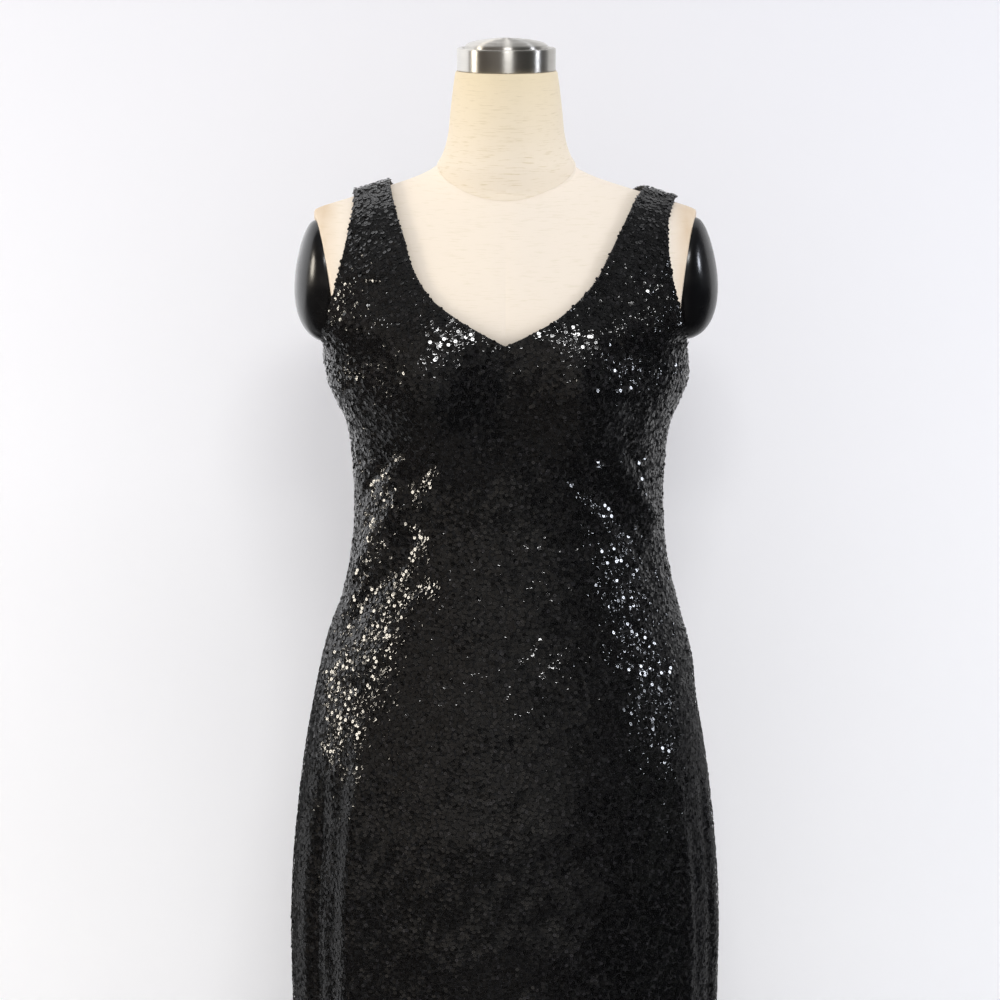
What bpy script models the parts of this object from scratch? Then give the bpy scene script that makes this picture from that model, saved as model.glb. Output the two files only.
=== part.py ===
"""A black sequin maxi dress on a limbless dress form with a round base.

The dress is two panels of cloth, front and back, sewn at the shoulders and down the sides. Each is a
wall between an outer face, which section tables give, and an inner face one cloth thickness inside.
The form is a solid torso and neck with a steel neck cap, two arm plates, two black arm caps, a pole
and a base. The front faces -Y, left and right are as seen from the front, so left is -X, and the
origin is under the middle of the base.
"""

import math

import bmesh
import bpy
import numpy as np
from mathutils import Vector

ROOT = "dress_on_form"

# Driving dimensions, in metres
HEM_HEIGHT = 0.040
UNDERARM_HEIGHT = 1.2777
FRONT_NECK_HEIGHT = 1.3137
BACK_NECK_HEIGHT = 1.400
WALL = 0.002  # the cloth with its backing
SEAM_GAP = 0.0003
HALF_GAP = SEAM_GAP / 2
SQUARENESS = 2.25  # of a section's superellipse, where 2 is an ellipse

# The form's level sections. Above 1.33 the heights are those of the middle of the body, before the
# shoulders slope away, and the last row is the ridge of the shoulders.
#    height  half_width  front   back
FORM_SECTIONS = (
    (0.7950, 0.1380, 0.0780, 0.0900),
    (0.7990, 0.1480, 0.0870, 0.1010),
    (0.8100, 0.1550, 0.0940, 0.1100),
    (0.8500, 0.1665, 0.1040, 0.1250),
    (0.9000, 0.1760, 0.1120, 0.1380),
    (0.9300, 0.1780, 0.1140, 0.1410),
    (0.9800, 0.1690, 0.1120, 0.1330),
    (1.0300, 0.1520, 0.1060, 0.1160),
    (1.0800, 0.1380, 0.1010, 0.1000),
    (1.1380, 0.1310, 0.1000, 0.0920),
    (1.1900, 0.1380, 0.1040, 0.0900),
    (1.2300, 0.1500, 0.1120, 0.0920),
    (1.2620, 0.1545, 0.1200, 0.0950),
    (1.2850, 0.1570, 0.1240, 0.0985),
    (1.3000, 0.1670, 0.1260, 0.1010),
    (1.3300, 0.1900, 0.1280, 0.1050),
    (1.3700, 0.2050, 0.1140, 0.1040),
    (1.4080, 0.2140, 0.0900, 0.0910),
    (1.4370, 0.2160, 0.0660, 0.0705),
    (1.4592, 0.2170, 0.0420, 0.0470),
    (1.4729, 0.2170, 0.0200, 0.0240),
    (1.4781, 0.2170, 0.0090, 0.0110),
    (1.4795, 0.2170, 0.0000, 0.0000),
)

# The outer face of the dress, in the same columns: loose in the skirt, close on the shoulders.
#    height  half_width  front   back
DRESS_SECTIONS = (
    (0.0400, 0.2160, 0.1600, 0.1600),
    (0.3000, 0.2170, 0.1590, 0.1610),
    (0.6100, 0.2180, 0.1570, 0.1630),
    (0.7200, 0.2182, 0.1550, 0.1650),
    (0.7800, 0.2145, 0.1520, 0.1670),
    (0.8250, 0.2097, 0.1490, 0.1670),
    (0.8800, 0.2025, 0.1440, 0.1650),
    (0.9300, 0.1935, 0.1380, 0.1600),
    (0.9900, 0.1805, 0.1300, 0.1490),
    (1.0400, 0.1665, 0.1240, 0.1350),
    (1.0800, 0.1575, 0.1200, 0.1230),
    (1.1380, 0.1522, 0.1170, 0.1100),
    (1.1800, 0.1535, 0.1180, 0.1060),
    (1.2200, 0.1592, 0.1230, 0.1050),
    (1.2450, 0.1695, 0.1265, 0.1065),
    (1.2620, 0.1768, 0.1290, 0.1080),
    (1.2850, 0.1798, 0.1320, 0.1095),
    (1.3000, 0.1818, 0.1335, 0.1110),
    (1.3317, 0.1955, 0.1345, 0.1138),
    (1.3720, 0.2105, 0.1195, 0.1105),
    (1.4125, 0.2190, 0.0960, 0.0980),
    (1.4420, 0.2205, 0.0710, 0.0755),
    (1.4655, 0.2215, 0.0460, 0.0510),
    (1.4796, 0.2215, 0.0225, 0.0265),
    (1.4851, 0.2215, 0.0100, 0.0120),
    (1.4865, 0.2215, HALF_GAP, HALF_GAP),
)

# Corresponding points of the front's neckline and armhole, from the V and the underarm up to the
# shoulder seam, whose height follows from the shoulder. The straps lean a little to the right.
#    neck_left  neck_right  neck_z   arm_left  arm_right  arm_z
FRONT_EDGES = (
    (0.0000, 0.0000, FRONT_NECK_HEIGHT, -0.1798, 0.1798, UNDERARM_HEIGHT),
    (-0.0225, 0.0255, 1.3258, -0.1790, 0.1790, 1.2900),
    (-0.0460, 0.0500, 1.3394, -0.1765, 0.1760, 1.3080),
    (-0.0687, 0.0701, 1.3551, -0.1714, 0.1701, 1.3285),
    (-0.0831, 0.0874, 1.3729, -0.1665, 0.1650, 1.3520),
    (-0.0919, 0.0981, 1.3907, -0.1600, 0.1600, 1.3760),
    (-0.0972, 0.1080, 1.4083, -0.1540, 0.1572, 1.4010),
    (-0.1040, 0.1180, 1.4260, -0.1490, 0.1580, 1.4240),
    (-0.1095, 0.1285, 1.4434, -0.1468, 0.1645, 1.4400),
    (-0.1150, 0.1395, None, -0.1480, 0.1685, None),
)

# The same for the back, which has a shallow round neckline.
#    neck_left  neck_right  neck_z   arm_left  arm_right  arm_z
BACK_EDGES = (
    (0.0000, 0.0000, BACK_NECK_HEIGHT, -0.1798, 0.1798, UNDERARM_HEIGHT),
    (-0.0190, 0.0200, 1.4010, -0.1792, 0.1792, 1.2930),
    (-0.0370, 0.0400, 1.4045, -0.1770, 0.1765, 1.3130),
    (-0.0540, 0.0590, 1.4100, -0.1725, 0.1715, 1.3350),
    (-0.0700, 0.0770, 1.4175, -0.1670, 0.1665, 1.3570),
    (-0.0840, 0.0930, 1.4260, -0.1610, 0.1630, 1.3790),
    (-0.0950, 0.1060, 1.4345, -0.1555, 0.1615, 1.4010),
    (-0.1050, 0.1215, 1.4425, -0.1505, 0.1620, 1.4200),
    (-0.1115, 0.1330, 1.4505, -0.1475, 0.1655, 1.4370),
    (-0.1150, 0.1395, None, -0.1480, 0.1685, None),
)

# The dress's largest folds, each a soft ridge (or a trough, with a negative rise) along a straight
# line on the unrolled cloth. Angles go round from the front's middle, +90 at the right side seam.
#    from_deg  from_z  to_deg  to_z    half_width  rise
FOLDS = (
    (-41.5, 0.970, -40.5, 0.020, 0.018, 0.0085),
    (-60.0, 0.930, -59.0, 0.020, 0.014, -0.0045),
    (54.5, 0.930, 54.5, 0.020, 0.011, 0.0040),
    (72.5, 0.930, 72.5, 0.020, 0.011, -0.0045),
    (90.0, 1.300, 90.0, 0.930, 0.040, 0.0048),
    (-90.0, 1.300, -90.0, 1.000, 0.035, -0.0038),
    (118.0, 0.940, 116.0, 0.020, 0.020, -0.0055),
    (140.0, 0.860, 138.0, 0.020, 0.026, 0.0065),
    (164.0, 0.780, 165.0, 0.020, 0.022, -0.0050),
    (-117.0, 0.920, -115.0, 0.020, 0.022, -0.0055),
    (-138.0, 0.880, -140.0, 0.020, 0.026, 0.0065),
    (-165.0, 0.760, -163.0, 0.020, 0.022, -0.0050),
    (-34.0, 1.175, -72.0, 1.060, 0.016, 0.0045),
    (-30.0, 1.130, -66.0, 1.010, 0.014, -0.0030),
    (36.0, 1.205, 74.0, 1.120, 0.014, 0.0045),
    (32.0, 1.170, 70.0, 1.070, 0.015, -0.0035),
    (-148.0, 1.170, -108.0, 1.100, 0.018, 0.0040),
    (146.0, 1.170, 106.0, 1.100, 0.018, 0.0040),
)
FOLD_RADIUS = 0.19  # turns a fold's angle into a width of cloth
FOLD_FADE = 0.15  # of a fold's length, at an end that lies on the panel

# The bust: how far it stands out, and where
BUST_X, BUST_Z = 0.083, 1.262
FORM_BUST_RISE, DRESS_BUST_RISE = 0.026, 0.029
BUST_SPREAD_X, BUST_SPREAD_UP, BUST_SPREAD_DOWN = 0.048, 0.055, 0.048

# The shoulders: their slope, and how the outline rounds off at the arm and rises at the neck
SHOULDER_SLOPE, SHOULDER_ROUND = 0.31, 0.030
SLOPE_FROM, SLOPE_FULL = 1.290, 1.410
TIP_FROM, TIP_ROUND = 0.175, 8.5
NECK_FLARE, NECK_FLARE_REACH, NECK_RADIUS = 0.012, 0.013, 0.058

# The neck, whose seam with the torso is cut along a plane that falls towards the front
#    height  half_width  half_depth  middle_y
NECK_SECTIONS = (
    (1.3900, 0.0600, 0.0560, 0.0020),
    (1.4600, 0.0690, 0.0610, -0.0010),
    (1.4755, 0.0670, 0.0618, -0.0020),
    (1.4813, 0.0634, 0.0610, -0.0025),
    (1.4880, 0.0606, 0.0600, -0.0030),
    (1.4980, 0.0578, 0.0585, -0.0040),
    (1.5280, 0.0541, 0.0560, -0.0065),
    (1.5580, 0.0503, 0.0520, -0.0090),
    (1.5630, 0.0495, 0.0512, -0.0095),
    (1.5648, 0.0480, 0.0496, -0.0095),
)
NECK_TOP, NECK_LEAN = NECK_SECTIONS[-1][0], NECK_SECTIONS[-1][3]
NECK_X = 0.0012  # the neck stands this far right of the middle
NECK_SEAM_HEIGHT, NECK_SEAM_FALL = 1.4803, 0.55

# The turned neck cap, from its underside up
#    radius  height over the neck
CAP_PROFILE = (
    (0.0478, 0.0003),
    (0.0478, 0.0208),
    (0.0470, 0.0220),
    (0.0432, 0.0220),
    (0.0424, 0.0202),
    (0.0412, 0.0202),
    (0.0404, 0.0230),
)
CAP_DOME_HEIGHT = 0.0082
CAP_DOME_RINGS = 5

# The arm plates lie in planes that lean out at the top and turn a little to the front
#   side: the plate's foot and top, as distance out and height, and degrees of turn
ARM_ENDS = {
    -1: ((0.1690, 1.2977), (0.1855, 1.4187), 9.0),
    1: ((0.1722, 1.3009), (0.1865, 1.4212), 8.0),
}
ARM_CUT_FROM = 1.235  # the hips, which lie as far out, are below this
PLATE_THICKNESS = 0.006
ARM_CAP_HALF_DEPTH = 0.046
ARM_CAP_BULGE = 0.0300
ARM_CAP_DROOP = 0.36  # how much further it bulges at the foot than at the middle

# The stand
POLE_RADIUS = 0.016
BASE_RADIUS = 0.165
#    radius  height
BASE_PROFILE = (
    (BASE_RADIUS - 0.0030, 0.0000),
    (BASE_RADIUS, 0.0030),
    (BASE_RADIUS, 0.0070),
    (BASE_RADIUS - 0.0040, 0.0105),
    (0.0900, 0.0150),
    (0.0400, 0.0180),
    (0.0300, 0.0200),
    (0.0270, 0.0260),
    (0.0270, 0.0600),
    (0.0250, 0.0620),
)
SOCKET_DEPTH = 0.050  # of the base's collar, round the pole's foot

# How finely the meshes are divided
PANEL_ROWS, EDGE_ROWS, HALF_COLUMNS = 17, 11, 13
TORSO_ROWS, TORSO_COLUMNS = 24, 44
NECK_ROWS, NECK_COLUMNS = 9, 40
CAP_SEGMENTS, STAND_SEGMENTS = 48, 40
ARM_CAP_RINGS, ARM_CAP_SEGMENTS = 7, 32
TORSO_ROW_CROWDING = 0.92  # below 1, the rows are closer towards the shoulders
SHARP_DEGREES = 40  # a steeper edge stays sharp in the shading
MERGE = 0.00002  # joins the points that a cut or a closed end doubles
CUT_MERGE = 0.000002
PLACING_STEPS = 40  # of halving, when a point's way is looked for

# Colour, metallic value and roughness of each finish
FINISHES = {
    "black_sequin_cloth": ("#0B0B0D", 0.0, 0.32),
    "cream_linen": ("#EFE4C8", 0.0, 0.85),
    "brushed_steel": ("#B9B7B0", 1.0, 0.24),
    "black_gloss_plastic": ("#0C0C0D", 0.0, 0.16),
    "black_painted_steel": ("#121214", 0.0, 0.38),
}


def linear_colour(code):
    """Turns an sRGB hex code into the linear RGBA colour that a shader takes."""
    parts = [int(code[i : i + 2], 16) / 255 for i in (1, 3, 5)]
    linear = [c / 12.92 if c <= 0.04045 else ((c + 0.055) / 1.055) ** 2.4 for c in parts]
    return (*linear, 1.0)


def finish(name):
    """Makes the material of one finish."""
    colour, metallic, roughness = FINISHES[name]
    material = bpy.data.materials.new(name)
    material.use_nodes = True
    shader = material.node_tree.nodes["Principled BSDF"]
    shader.inputs["Base Color"].default_value = linear_colour(colour)
    shader.inputs["Metallic"].default_value = metallic
    shader.inputs["Roughness"].default_value = roughness
    material.diffuse_color = linear_colour(colour)
    return material


def read_table(table, at):
    """Reads all columns of a table at values of its first column, along smooth curves."""
    rows = np.array(table, float)
    knots, values = rows[:, 0], rows[:, 1:]
    slopes = np.gradient(values, knots, axis=0)
    at = np.clip(np.asarray(at, float), knots[0], knots[-1])
    k = np.clip(np.searchsorted(knots, at) - 1, 0, len(knots) - 2)
    span = (knots[k + 1] - knots[k])[..., None]
    s = ((at - knots[k])[..., None]) / span
    return (
        values[k] * (1 + 2 * s) * (1 - s) ** 2
        + slopes[k] * span * s * (1 - s) ** 2
        + values[k + 1] * s**2 * (3 - 2 * s)
        + slopes[k + 1] * span * s**2 * (s - 1)
    )


def ease_in(value, start, end):
    """0 before start, 1 past end, and a smooth step between."""
    s = np.clip((value - start) / (end - start), 0, 1)
    return s * s * (3 - 2 * s)


def ridge_fall(x):
    """How far the shoulders' ridge lies below its middle, at a distance x from it."""
    slope = SHOULDER_SLOPE * (np.sqrt(x**2 + SHOULDER_ROUND**2) - SHOULDER_ROUND)
    return slope + TIP_ROUND * np.maximum(np.abs(x) - TIP_FROM, 0) ** 2


def bust(x, z):
    """The bust's rise over the plain section at a place on the front, as a share of its most."""
    spread = np.where(z > BUST_Z, BUST_SPREAD_UP, BUST_SPREAD_DOWN)
    side = np.exp(-(((np.abs(x) - BUST_X) / BUST_SPREAD_X) ** 2))
    return side * np.exp(-(((z - BUST_Z) / spread) ** 2))


def fold_relief(turn, z):
    """How far the dress's folds move the cloth out, at an angle all round and a height."""
    rise = np.zeros(np.broadcast(turn, z).shape)
    for from_deg, from_z, to_deg, to_z, half_width, height in FOLDS:
        run_u, run_z = math.radians(to_deg - from_deg) * FOLD_RADIUS, to_z - from_z
        length = math.hypot(run_u, run_z)
        off = (np.degrees(turn) - from_deg + 180) % 360 - 180
        u, v = np.radians(off) * FOLD_RADIUS, z - from_z
        along = (u * run_u + v * run_z) / length**2
        across = (u * run_z - v * run_u) / length
        fade = ease_in(along, 0.0, FOLD_FADE)
        if to_z > HEM_HEIGHT:
            fade = fade * ease_in(1 - along, 0.0, FOLD_FADE)
        rise = rise + height * fade * np.exp(-((across / half_width) ** 2))
    return rise


class Body:
    """A rounded body whose level sections a table gives, with shoulders, a bust and maybe folds.

    A place on it is an angle from the middle of the front or back (+90 degrees at +X) and a way,
    which is the distance up the front's outline from the table's first row.
    """

    def __init__(self, sections, bust_rise, folds=False):
        rows = np.array(sections, float)
        steps = np.hypot(np.diff(rows[:, 0]), np.diff(rows[:, 2]))
        self.table = np.column_stack([np.concatenate([[0], np.cumsum(steps)]), rows])
        self.bust_rise = bust_rise
        self.folds = folds
        self.end = self.table[-1, 0]

    def surface(self, angle, way, facing):
        """Points at these angles and ways, on the front (facing -1) or the back (facing 1)."""
        height, half_width, front, back = np.moveaxis(read_table(self.table, way), -1, 0)
        power = 2 / SQUARENESS
        x = half_width * np.sign(angle) * np.abs(np.sin(angle)) ** power
        depth = front if facing < 0 else back
        if facing < 0:
            depth = depth + self.bust_rise * bust(x, height)
        out = depth * np.clip(np.cos(angle), 0, 1) ** power
        sloping = ease_in(height, SLOPE_FROM, SLOPE_FULL)
        from_neck = np.hypot(x, out) - NECK_RADIUS
        flare = NECK_FLARE * np.exp(-np.maximum(from_neck, 0) / NECK_FLARE_REACH)
        z = height + sloping * (flare - ridge_fall(x))
        y = facing * out
        if self.folds:
            turn = angle if facing < 0 else np.pi - angle
            rise = fold_relief(turn, z)
            x = x + rise * np.sin(angle)
            y = y + facing * rise * np.clip(np.cos(angle), 0, 1)
        return np.stack([x, y, z], -1)

    def place(self, x, z):
        """The angle and way of a point seen at x and z from the front, or on the ridge for no z."""
        low, high = 0.0, self.end
        way = self.end
        if z is not None:
            for _ in range(PLACING_STEPS):
                way = (low + high) / 2
                height = read_table(self.table, way)[0]
                seen = height - ease_in(height, SLOPE_FROM, SLOPE_FULL) * ridge_fall(x)
                low, high = (way, high) if seen < z else (low, way)
        half_width = read_table(self.table, way)[1]
        share = min(abs(x) / half_width, 1.0)
        return math.copysign(math.asin(share ** (SQUARENESS / 2)), x), way


def panel_places(body, edges, side):
    """Angles and ways of half a panel: rows from the hem up, columns from the middle out."""
    neck_x, arm_x = (0, 3) if side < 0 else (1, 4)
    neck = np.array([body.place(row[neck_x], row[2]) for row in edges])
    arm = np.array([body.place(row[arm_x], row[5]) for row in edges])
    arm[0] = side * math.pi / 2, body.place(0, UNDERARM_HEIGHT)[1]
    knots = np.linspace(0, 1, len(edges))[:, None]
    up = np.linspace(0, 1, EDGE_ROWS + 1)
    neck = read_table(np.hstack([knots, neck]), up)
    arm = read_table(np.hstack([knots, arm]), up)
    below = np.linspace(0, 1, PANEL_ROWS + 1)[:-1, None]
    middle = np.hstack([0 * below, below * neck[0, 1]])
    seam = np.hstack([0 * below + arm[0, 0], below * arm[0, 1]])
    across = np.linspace(0, 1, HALF_COLUMNS + 1)[None, :, None]
    inner = np.vstack([middle, neck])[:, None]
    outer = np.vstack([seam, arm])[:, None]
    return inner * (1 - across) + outer * across


def panel_surface(body, edges, facing):
    """Points and quads of a panel's outer face, and which points lie on a seam."""
    points, on_seam, number = [], [], {}
    rows, columns = PANEL_ROWS + EDGE_ROWS, HALF_COLUMNS
    for side in (-1, 1):
        places = panel_places(body, edges, side)
        found = body.surface(places[..., 0], places[..., 1], facing)
        for row in range(rows + 1):
            for column in range(columns + 1):
                if side > 0 and column == 0 and row <= PANEL_ROWS:
                    number[side, row, column] = number[-1, row, column]
                    continue
                at_side = column == columns and row <= PANEL_ROWS
                point = found[row, column].copy()
                if at_side:
                    point[1] = facing * HALF_GAP
                number[side, row, column] = len(points)
                points.append(point)
                on_seam.append(at_side or row == rows)
    quads = []
    for side in (-1, 1):
        for row in range(rows):
            for column in range(columns):
                corners = [(row, column), (row, column + 1), (row + 1, column + 1), (row + 1, column)]
                quad = [number[side, r, c] for r, c in corners]
                quads.append(quad if side * facing < 0 else quad[::-1])
    return np.array(points), quads, np.array(on_seam)


def outward(points, quads, on_seam):
    """Unit normals of an open surface. Those on a seam are kept in the seam's own plane."""
    corners = points[np.array(quads)]
    face = np.cross(corners[:, 2] - corners[:, 0], corners[:, 3] - corners[:, 1])
    normals = np.zeros_like(points)
    for corner in range(4):
        np.add.at(normals, np.array(quads)[:, corner], face)
    normals[on_seam, 1] = 0
    return normals / np.linalg.norm(normals, axis=1, keepdims=True)


def cloth_wall(points, quads, on_seam):
    """The faces of a closed wall that has this surface as its outer face."""
    inner = points - WALL * outward(points, quads, on_seam)
    count = len(points)
    directed = {(q[i], q[(i + 1) % 4]) for q in quads for i in range(4)}
    rim = [(a, b) for a, b in directed if (b, a) not in directed]
    faces = [tuple(q) for q in quads]
    faces += [tuple(i + count for i in reversed(q)) for q in quads]
    faces += [(b, a, a + count, b + count) for a, b in sorted(rim)]
    return np.vstack([points, inner]), faces


def add_object(name, points, faces, finish_name, location=(0, 0, 0)):
    """Makes a smoothly shaded object from points and faces."""
    mesh = bpy.data.meshes.new(name)
    mesh.from_pydata([tuple(map(float, p)) for p in points], [], faces)
    return place_mesh(name, mesh, finish_name, location)


def place_mesh(name, mesh, finish_name, location=(0, 0, 0)):
    """Wraps a mesh in an object with its finish, under the root empty."""
    mesh.shade_smooth()
    mesh.set_sharp_from_angle(angle=math.radians(SHARP_DEGREES))
    mesh.materials.append(bpy.data.materials.get(finish_name) or finish(finish_name))
    shape = bpy.data.objects.new(name, mesh)
    bpy.context.scene.collection.objects.link(shape)
    shape.location = location
    shape.parent = bpy.data.objects[ROOT]
    return shape


def turned(profile, segments):
    """Points and faces of a closed body turned about Z from (radius, height) rows, foot first."""
    angles = np.linspace(0, 2 * math.pi, segments, endpoint=False)
    points = [(r * math.cos(a), r * math.sin(a), z) for r, z in profile for a in angles]
    faces = []
    for ring in range(len(profile) - 1):
        for i in range(segments):
            j = (i + 1) % segments
            low, high = ring * segments, (ring + 1) * segments
            faces.append((low + i, low + j, high + j, high + i))
    last = (len(profile) - 1) * segments
    faces.append(tuple(reversed(range(segments))))
    faces.append(tuple(range(last, last + segments)))
    return points, faces


def torso_mesh(body):
    """A bmesh of the whole torso, closed at the foot and along the shoulders' ridge."""
    ways = np.linspace(0, 1, TORSO_ROWS + 1) ** TORSO_ROW_CROWDING * body.end
    turns = np.linspace(-math.pi / 2, math.pi / 2, TORSO_COLUMNS // 2 + 1)
    front = body.surface(turns[None, :], ways[:, None], -1)
    back = body.surface(turns[None, ::-1], ways[:, None], 1)
    rings = np.concatenate([front, back[:, 1:-1]], axis=1)
    count = rings.shape[1]
    shape = bmesh.new()
    made = [[shape.verts.new(Vector(p)) for p in ring] for ring in rings.tolist()]
    for low, high in zip(made, made[1:]):
        for i in range(count):
            j = (i + 1) % count
            shape.faces.new((low[i], low[j], high[j], high[i]))
    shape.faces.new(reversed(made[0]))
    bmesh.ops.remove_doubles(shape, verts=shape.verts, dist=MERGE)
    return shape


def neck_mesh():
    """A bmesh of the neck column, which runs down into the torso."""
    low, high = NECK_SECTIONS[0][0], NECK_TOP
    heights = np.unique(np.concatenate([np.linspace(low, high, NECK_ROWS), [r[0] for r in NECK_SECTIONS]]))
    shape = bmesh.new()
    rings = []
    for height in heights:
        half_width, half_depth, middle = read_table(NECK_SECTIONS, height)
        turns = np.linspace(0, 2 * math.pi, NECK_COLUMNS, endpoint=False)
        ring = [
            shape.verts.new(
                (NECK_X + half_width * math.cos(a), middle + half_depth * math.sin(a), height)
            )
            for a in turns
        ]
        rings.append(ring)
    for lower, upper in zip(rings, rings[1:]):
        for i in range(NECK_COLUMNS):
            j = (i + 1) % NECK_COLUMNS
            shape.faces.new((lower[i], lower[j], upper[j], upper[i]))
    shape.faces.new(reversed(rings[0]))
    shape.faces.new(rings[-1])
    return shape


def cut(shape, point, normal, above=0.0):
    """Takes away what lies on the normal's side of a plane, over a height, and closes the cut."""
    faces = [f for f in shape.faces if min(v.co.z for v in f.verts) >= above]
    edges = {e for f in faces for e in f.edges}
    points = {v for f in faces for v in f.verts}
    made = bmesh.ops.bisect_plane(
        shape,
        geom=[*points, *edges, *faces],
        dist=CUT_MERGE,
        plane_co=point,
        plane_no=normal,
        clear_outer=True,
    )
    edges = [e for e in made["geom_cut"] if isinstance(e, bmesh.types.BMEdge)]
    bmesh.ops.holes_fill(shape, edges=edges)
    return shape


def joined(first, second):
    """The union of two bmeshes, as a new bmesh."""
    pieces = []
    for shape in (first, second):
        mesh = bpy.data.meshes.new("form_blank")
        shape.to_mesh(mesh)
        shape.free()
        piece = bpy.data.objects.new("form_blank", mesh)
        bpy.context.scene.collection.objects.link(piece)
        pieces.append(piece)
    union = pieces[0].modifiers.new("union", "BOOLEAN")
    union.operation = "UNION"
    union.object = pieces[1]
    result = bmesh.new()
    result.from_object(pieces[0], bpy.context.evaluated_depsgraph_get())
    for piece in pieces:
        bpy.data.objects.remove(piece)
    bmesh.ops.remove_doubles(result, verts=result.verts, dist=MERGE)
    return result


def make_form_cover(name, shape, finish_name="cream_linen"):
    """Makes an object of a bmesh that was cut from the form's blank."""
    mesh = bpy.data.meshes.new(name)
    shape.to_mesh(mesh)
    shape.free()
    return place_mesh(name, mesh, finish_name)


def arm_frame(side):
    """The middle of an arm plate's outer face, its outward normal and its own up direction."""
    (foot_x, foot_z), (top_x, top_z), turn = ARM_ENDS[side]
    foot, top = Vector((side * foot_x, 0, foot_z)), Vector((side * top_x, 0, top_z))
    up = (top - foot).normalized()
    straight_out = Vector((side * up.z, 0, -abs(up.x)))
    turn = math.radians(turn)
    normal = straight_out * math.cos(turn) + Vector((0, -math.sin(turn), 0))
    return (foot + top) / 2, normal, up, (top - foot).length / 2


def make_torso_and_neck(body):
    """The torso, the neck and the two arm plates, cut from one blank."""
    blank = joined(torso_mesh(body), neck_mesh())
    seam_normal = Vector((0, -NECK_SEAM_FALL, 1)).normalized()
    seam = Vector((0, 0, NECK_SEAM_HEIGHT))
    neck = cut(blank.copy(), seam + seam_normal * HALF_GAP, -seam_normal)
    make_form_cover("form_neck", neck)
    rest = cut(blank, seam - seam_normal * HALF_GAP, seam_normal)
    for side, label in ((-1, "left"), (1, "right")):
        middle, normal, _, _ = arm_frame(side)
        seat = middle - normal * PLATE_THICKNESS
        plate = cut(rest.copy(), Vector((0, 0, ARM_CUT_FROM)), Vector((0, 0, -1)))
        plate = cut(plate, seat, -normal)
        plate = cut(plate, middle, normal)
        make_form_cover(f"form_arm_plate_{label}", plate)
        rest = cut(rest, seat - normal * SEAM_GAP, normal, ARM_CUT_FROM)
    make_form_cover("form_torso", rest)


def make_arm_cap(side, label):
    """A black oval dome on an arm plate."""
    middle, normal, up, half_height = arm_frame(side)
    across = up.cross(normal)
    seat = middle + normal * SEAM_GAP
    points, faces = [], []
    for ring in range(ARM_CAP_RINGS):
        lift = ring / ARM_CAP_RINGS * math.pi / 2
        for i in range(ARM_CAP_SEGMENTS):
            turn = 2 * math.pi * i / ARM_CAP_SEGMENTS
            share = math.cos(lift) * math.sin(turn)
            side_step = ARM_CAP_HALF_DEPTH * math.cos(lift) * math.cos(turn)
            out = ARM_CAP_BULGE * math.sin(lift) * (1 - ARM_CAP_DROOP * share)
            points.append(seat + up * half_height * share + across * side_step + normal * out)
    points.append(seat + normal * ARM_CAP_BULGE)
    for ring in range(ARM_CAP_RINGS - 1):
        for i in range(ARM_CAP_SEGMENTS):
            j = (i + 1) % ARM_CAP_SEGMENTS
            low, high = ring * ARM_CAP_SEGMENTS, (ring + 1) * ARM_CAP_SEGMENTS
            faces.append((low + i, low + j, high + j, high + i))
    last, apex = (ARM_CAP_RINGS - 1) * ARM_CAP_SEGMENTS, len(points) - 1
    for i in range(ARM_CAP_SEGMENTS):
        faces.append((last + i, last + (i + 1) % ARM_CAP_SEGMENTS, apex))
    faces.append(tuple(reversed(range(ARM_CAP_SEGMENTS))))
    add_object(f"form_arm_cap_{label}", points, faces, "black_gloss_plastic")


def make_neck_cap():
    """The turned steel cap on the neck: a rim, a groove and a low dome."""
    dome_radius, dome_foot = CAP_PROFILE[-1]
    profile = list(CAP_PROFILE)
    for ring in range(1, CAP_DOME_RINGS):
        lift = ring / CAP_DOME_RINGS * math.pi / 2
        profile.append((dome_radius * math.cos(lift), dome_foot + CAP_DOME_HEIGHT * math.sin(lift)))
    points, faces = turned(profile, CAP_SEGMENTS)
    add_object("form_neck_cap", points, faces, "brushed_steel", (NECK_X, NECK_LEAN, NECK_TOP))


def make_stand():
    """The pole, and the base whose collar holds it."""
    socket = BASE_PROFILE[-1][1] - SOCKET_DEPTH
    bore = POLE_RADIUS + SEAM_GAP
    profile = [*BASE_PROFILE, (bore, BASE_PROFILE[-1][1]), (bore, socket)]
    points, faces = turned(profile, STAND_SEGMENTS)
    add_object("form_base", points, faces, "black_painted_steel")
    foot, top = socket + SEAM_GAP, FORM_SECTIONS[0][0] - SEAM_GAP
    points, faces = turned([(POLE_RADIUS, 0), (POLE_RADIUS, top - foot)], STAND_SEGMENTS)
    add_object("form_pole", points, faces, "brushed_steel", (0, 0, foot))


def make_dress():
    """The front and back panels of the dress."""
    body = Body(DRESS_SECTIONS, DRESS_BUST_RISE, folds=True)
    for name, edges, facing in (("dress_front", FRONT_EDGES, -1), ("dress_back", BACK_EDGES, 1)):
        points, faces = cloth_wall(*panel_surface(body, edges, facing))
        add_object(name, points, faces, "black_sequin_cloth")


def main():
    """Clears the scene and builds the dress and its form."""
    for old in list(bpy.data.objects):
        bpy.data.objects.remove(old)
    root = bpy.data.objects.new(ROOT, None)
    bpy.context.scene.collection.objects.link(root)
    make_dress()
    make_torso_and_neck(Body(FORM_SECTIONS, FORM_BUST_RISE))
    make_neck_cap()
    for side, label in ((-1, "left"), (1, "right")):
        make_arm_cap(side, label)
    make_stand()


main()
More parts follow.
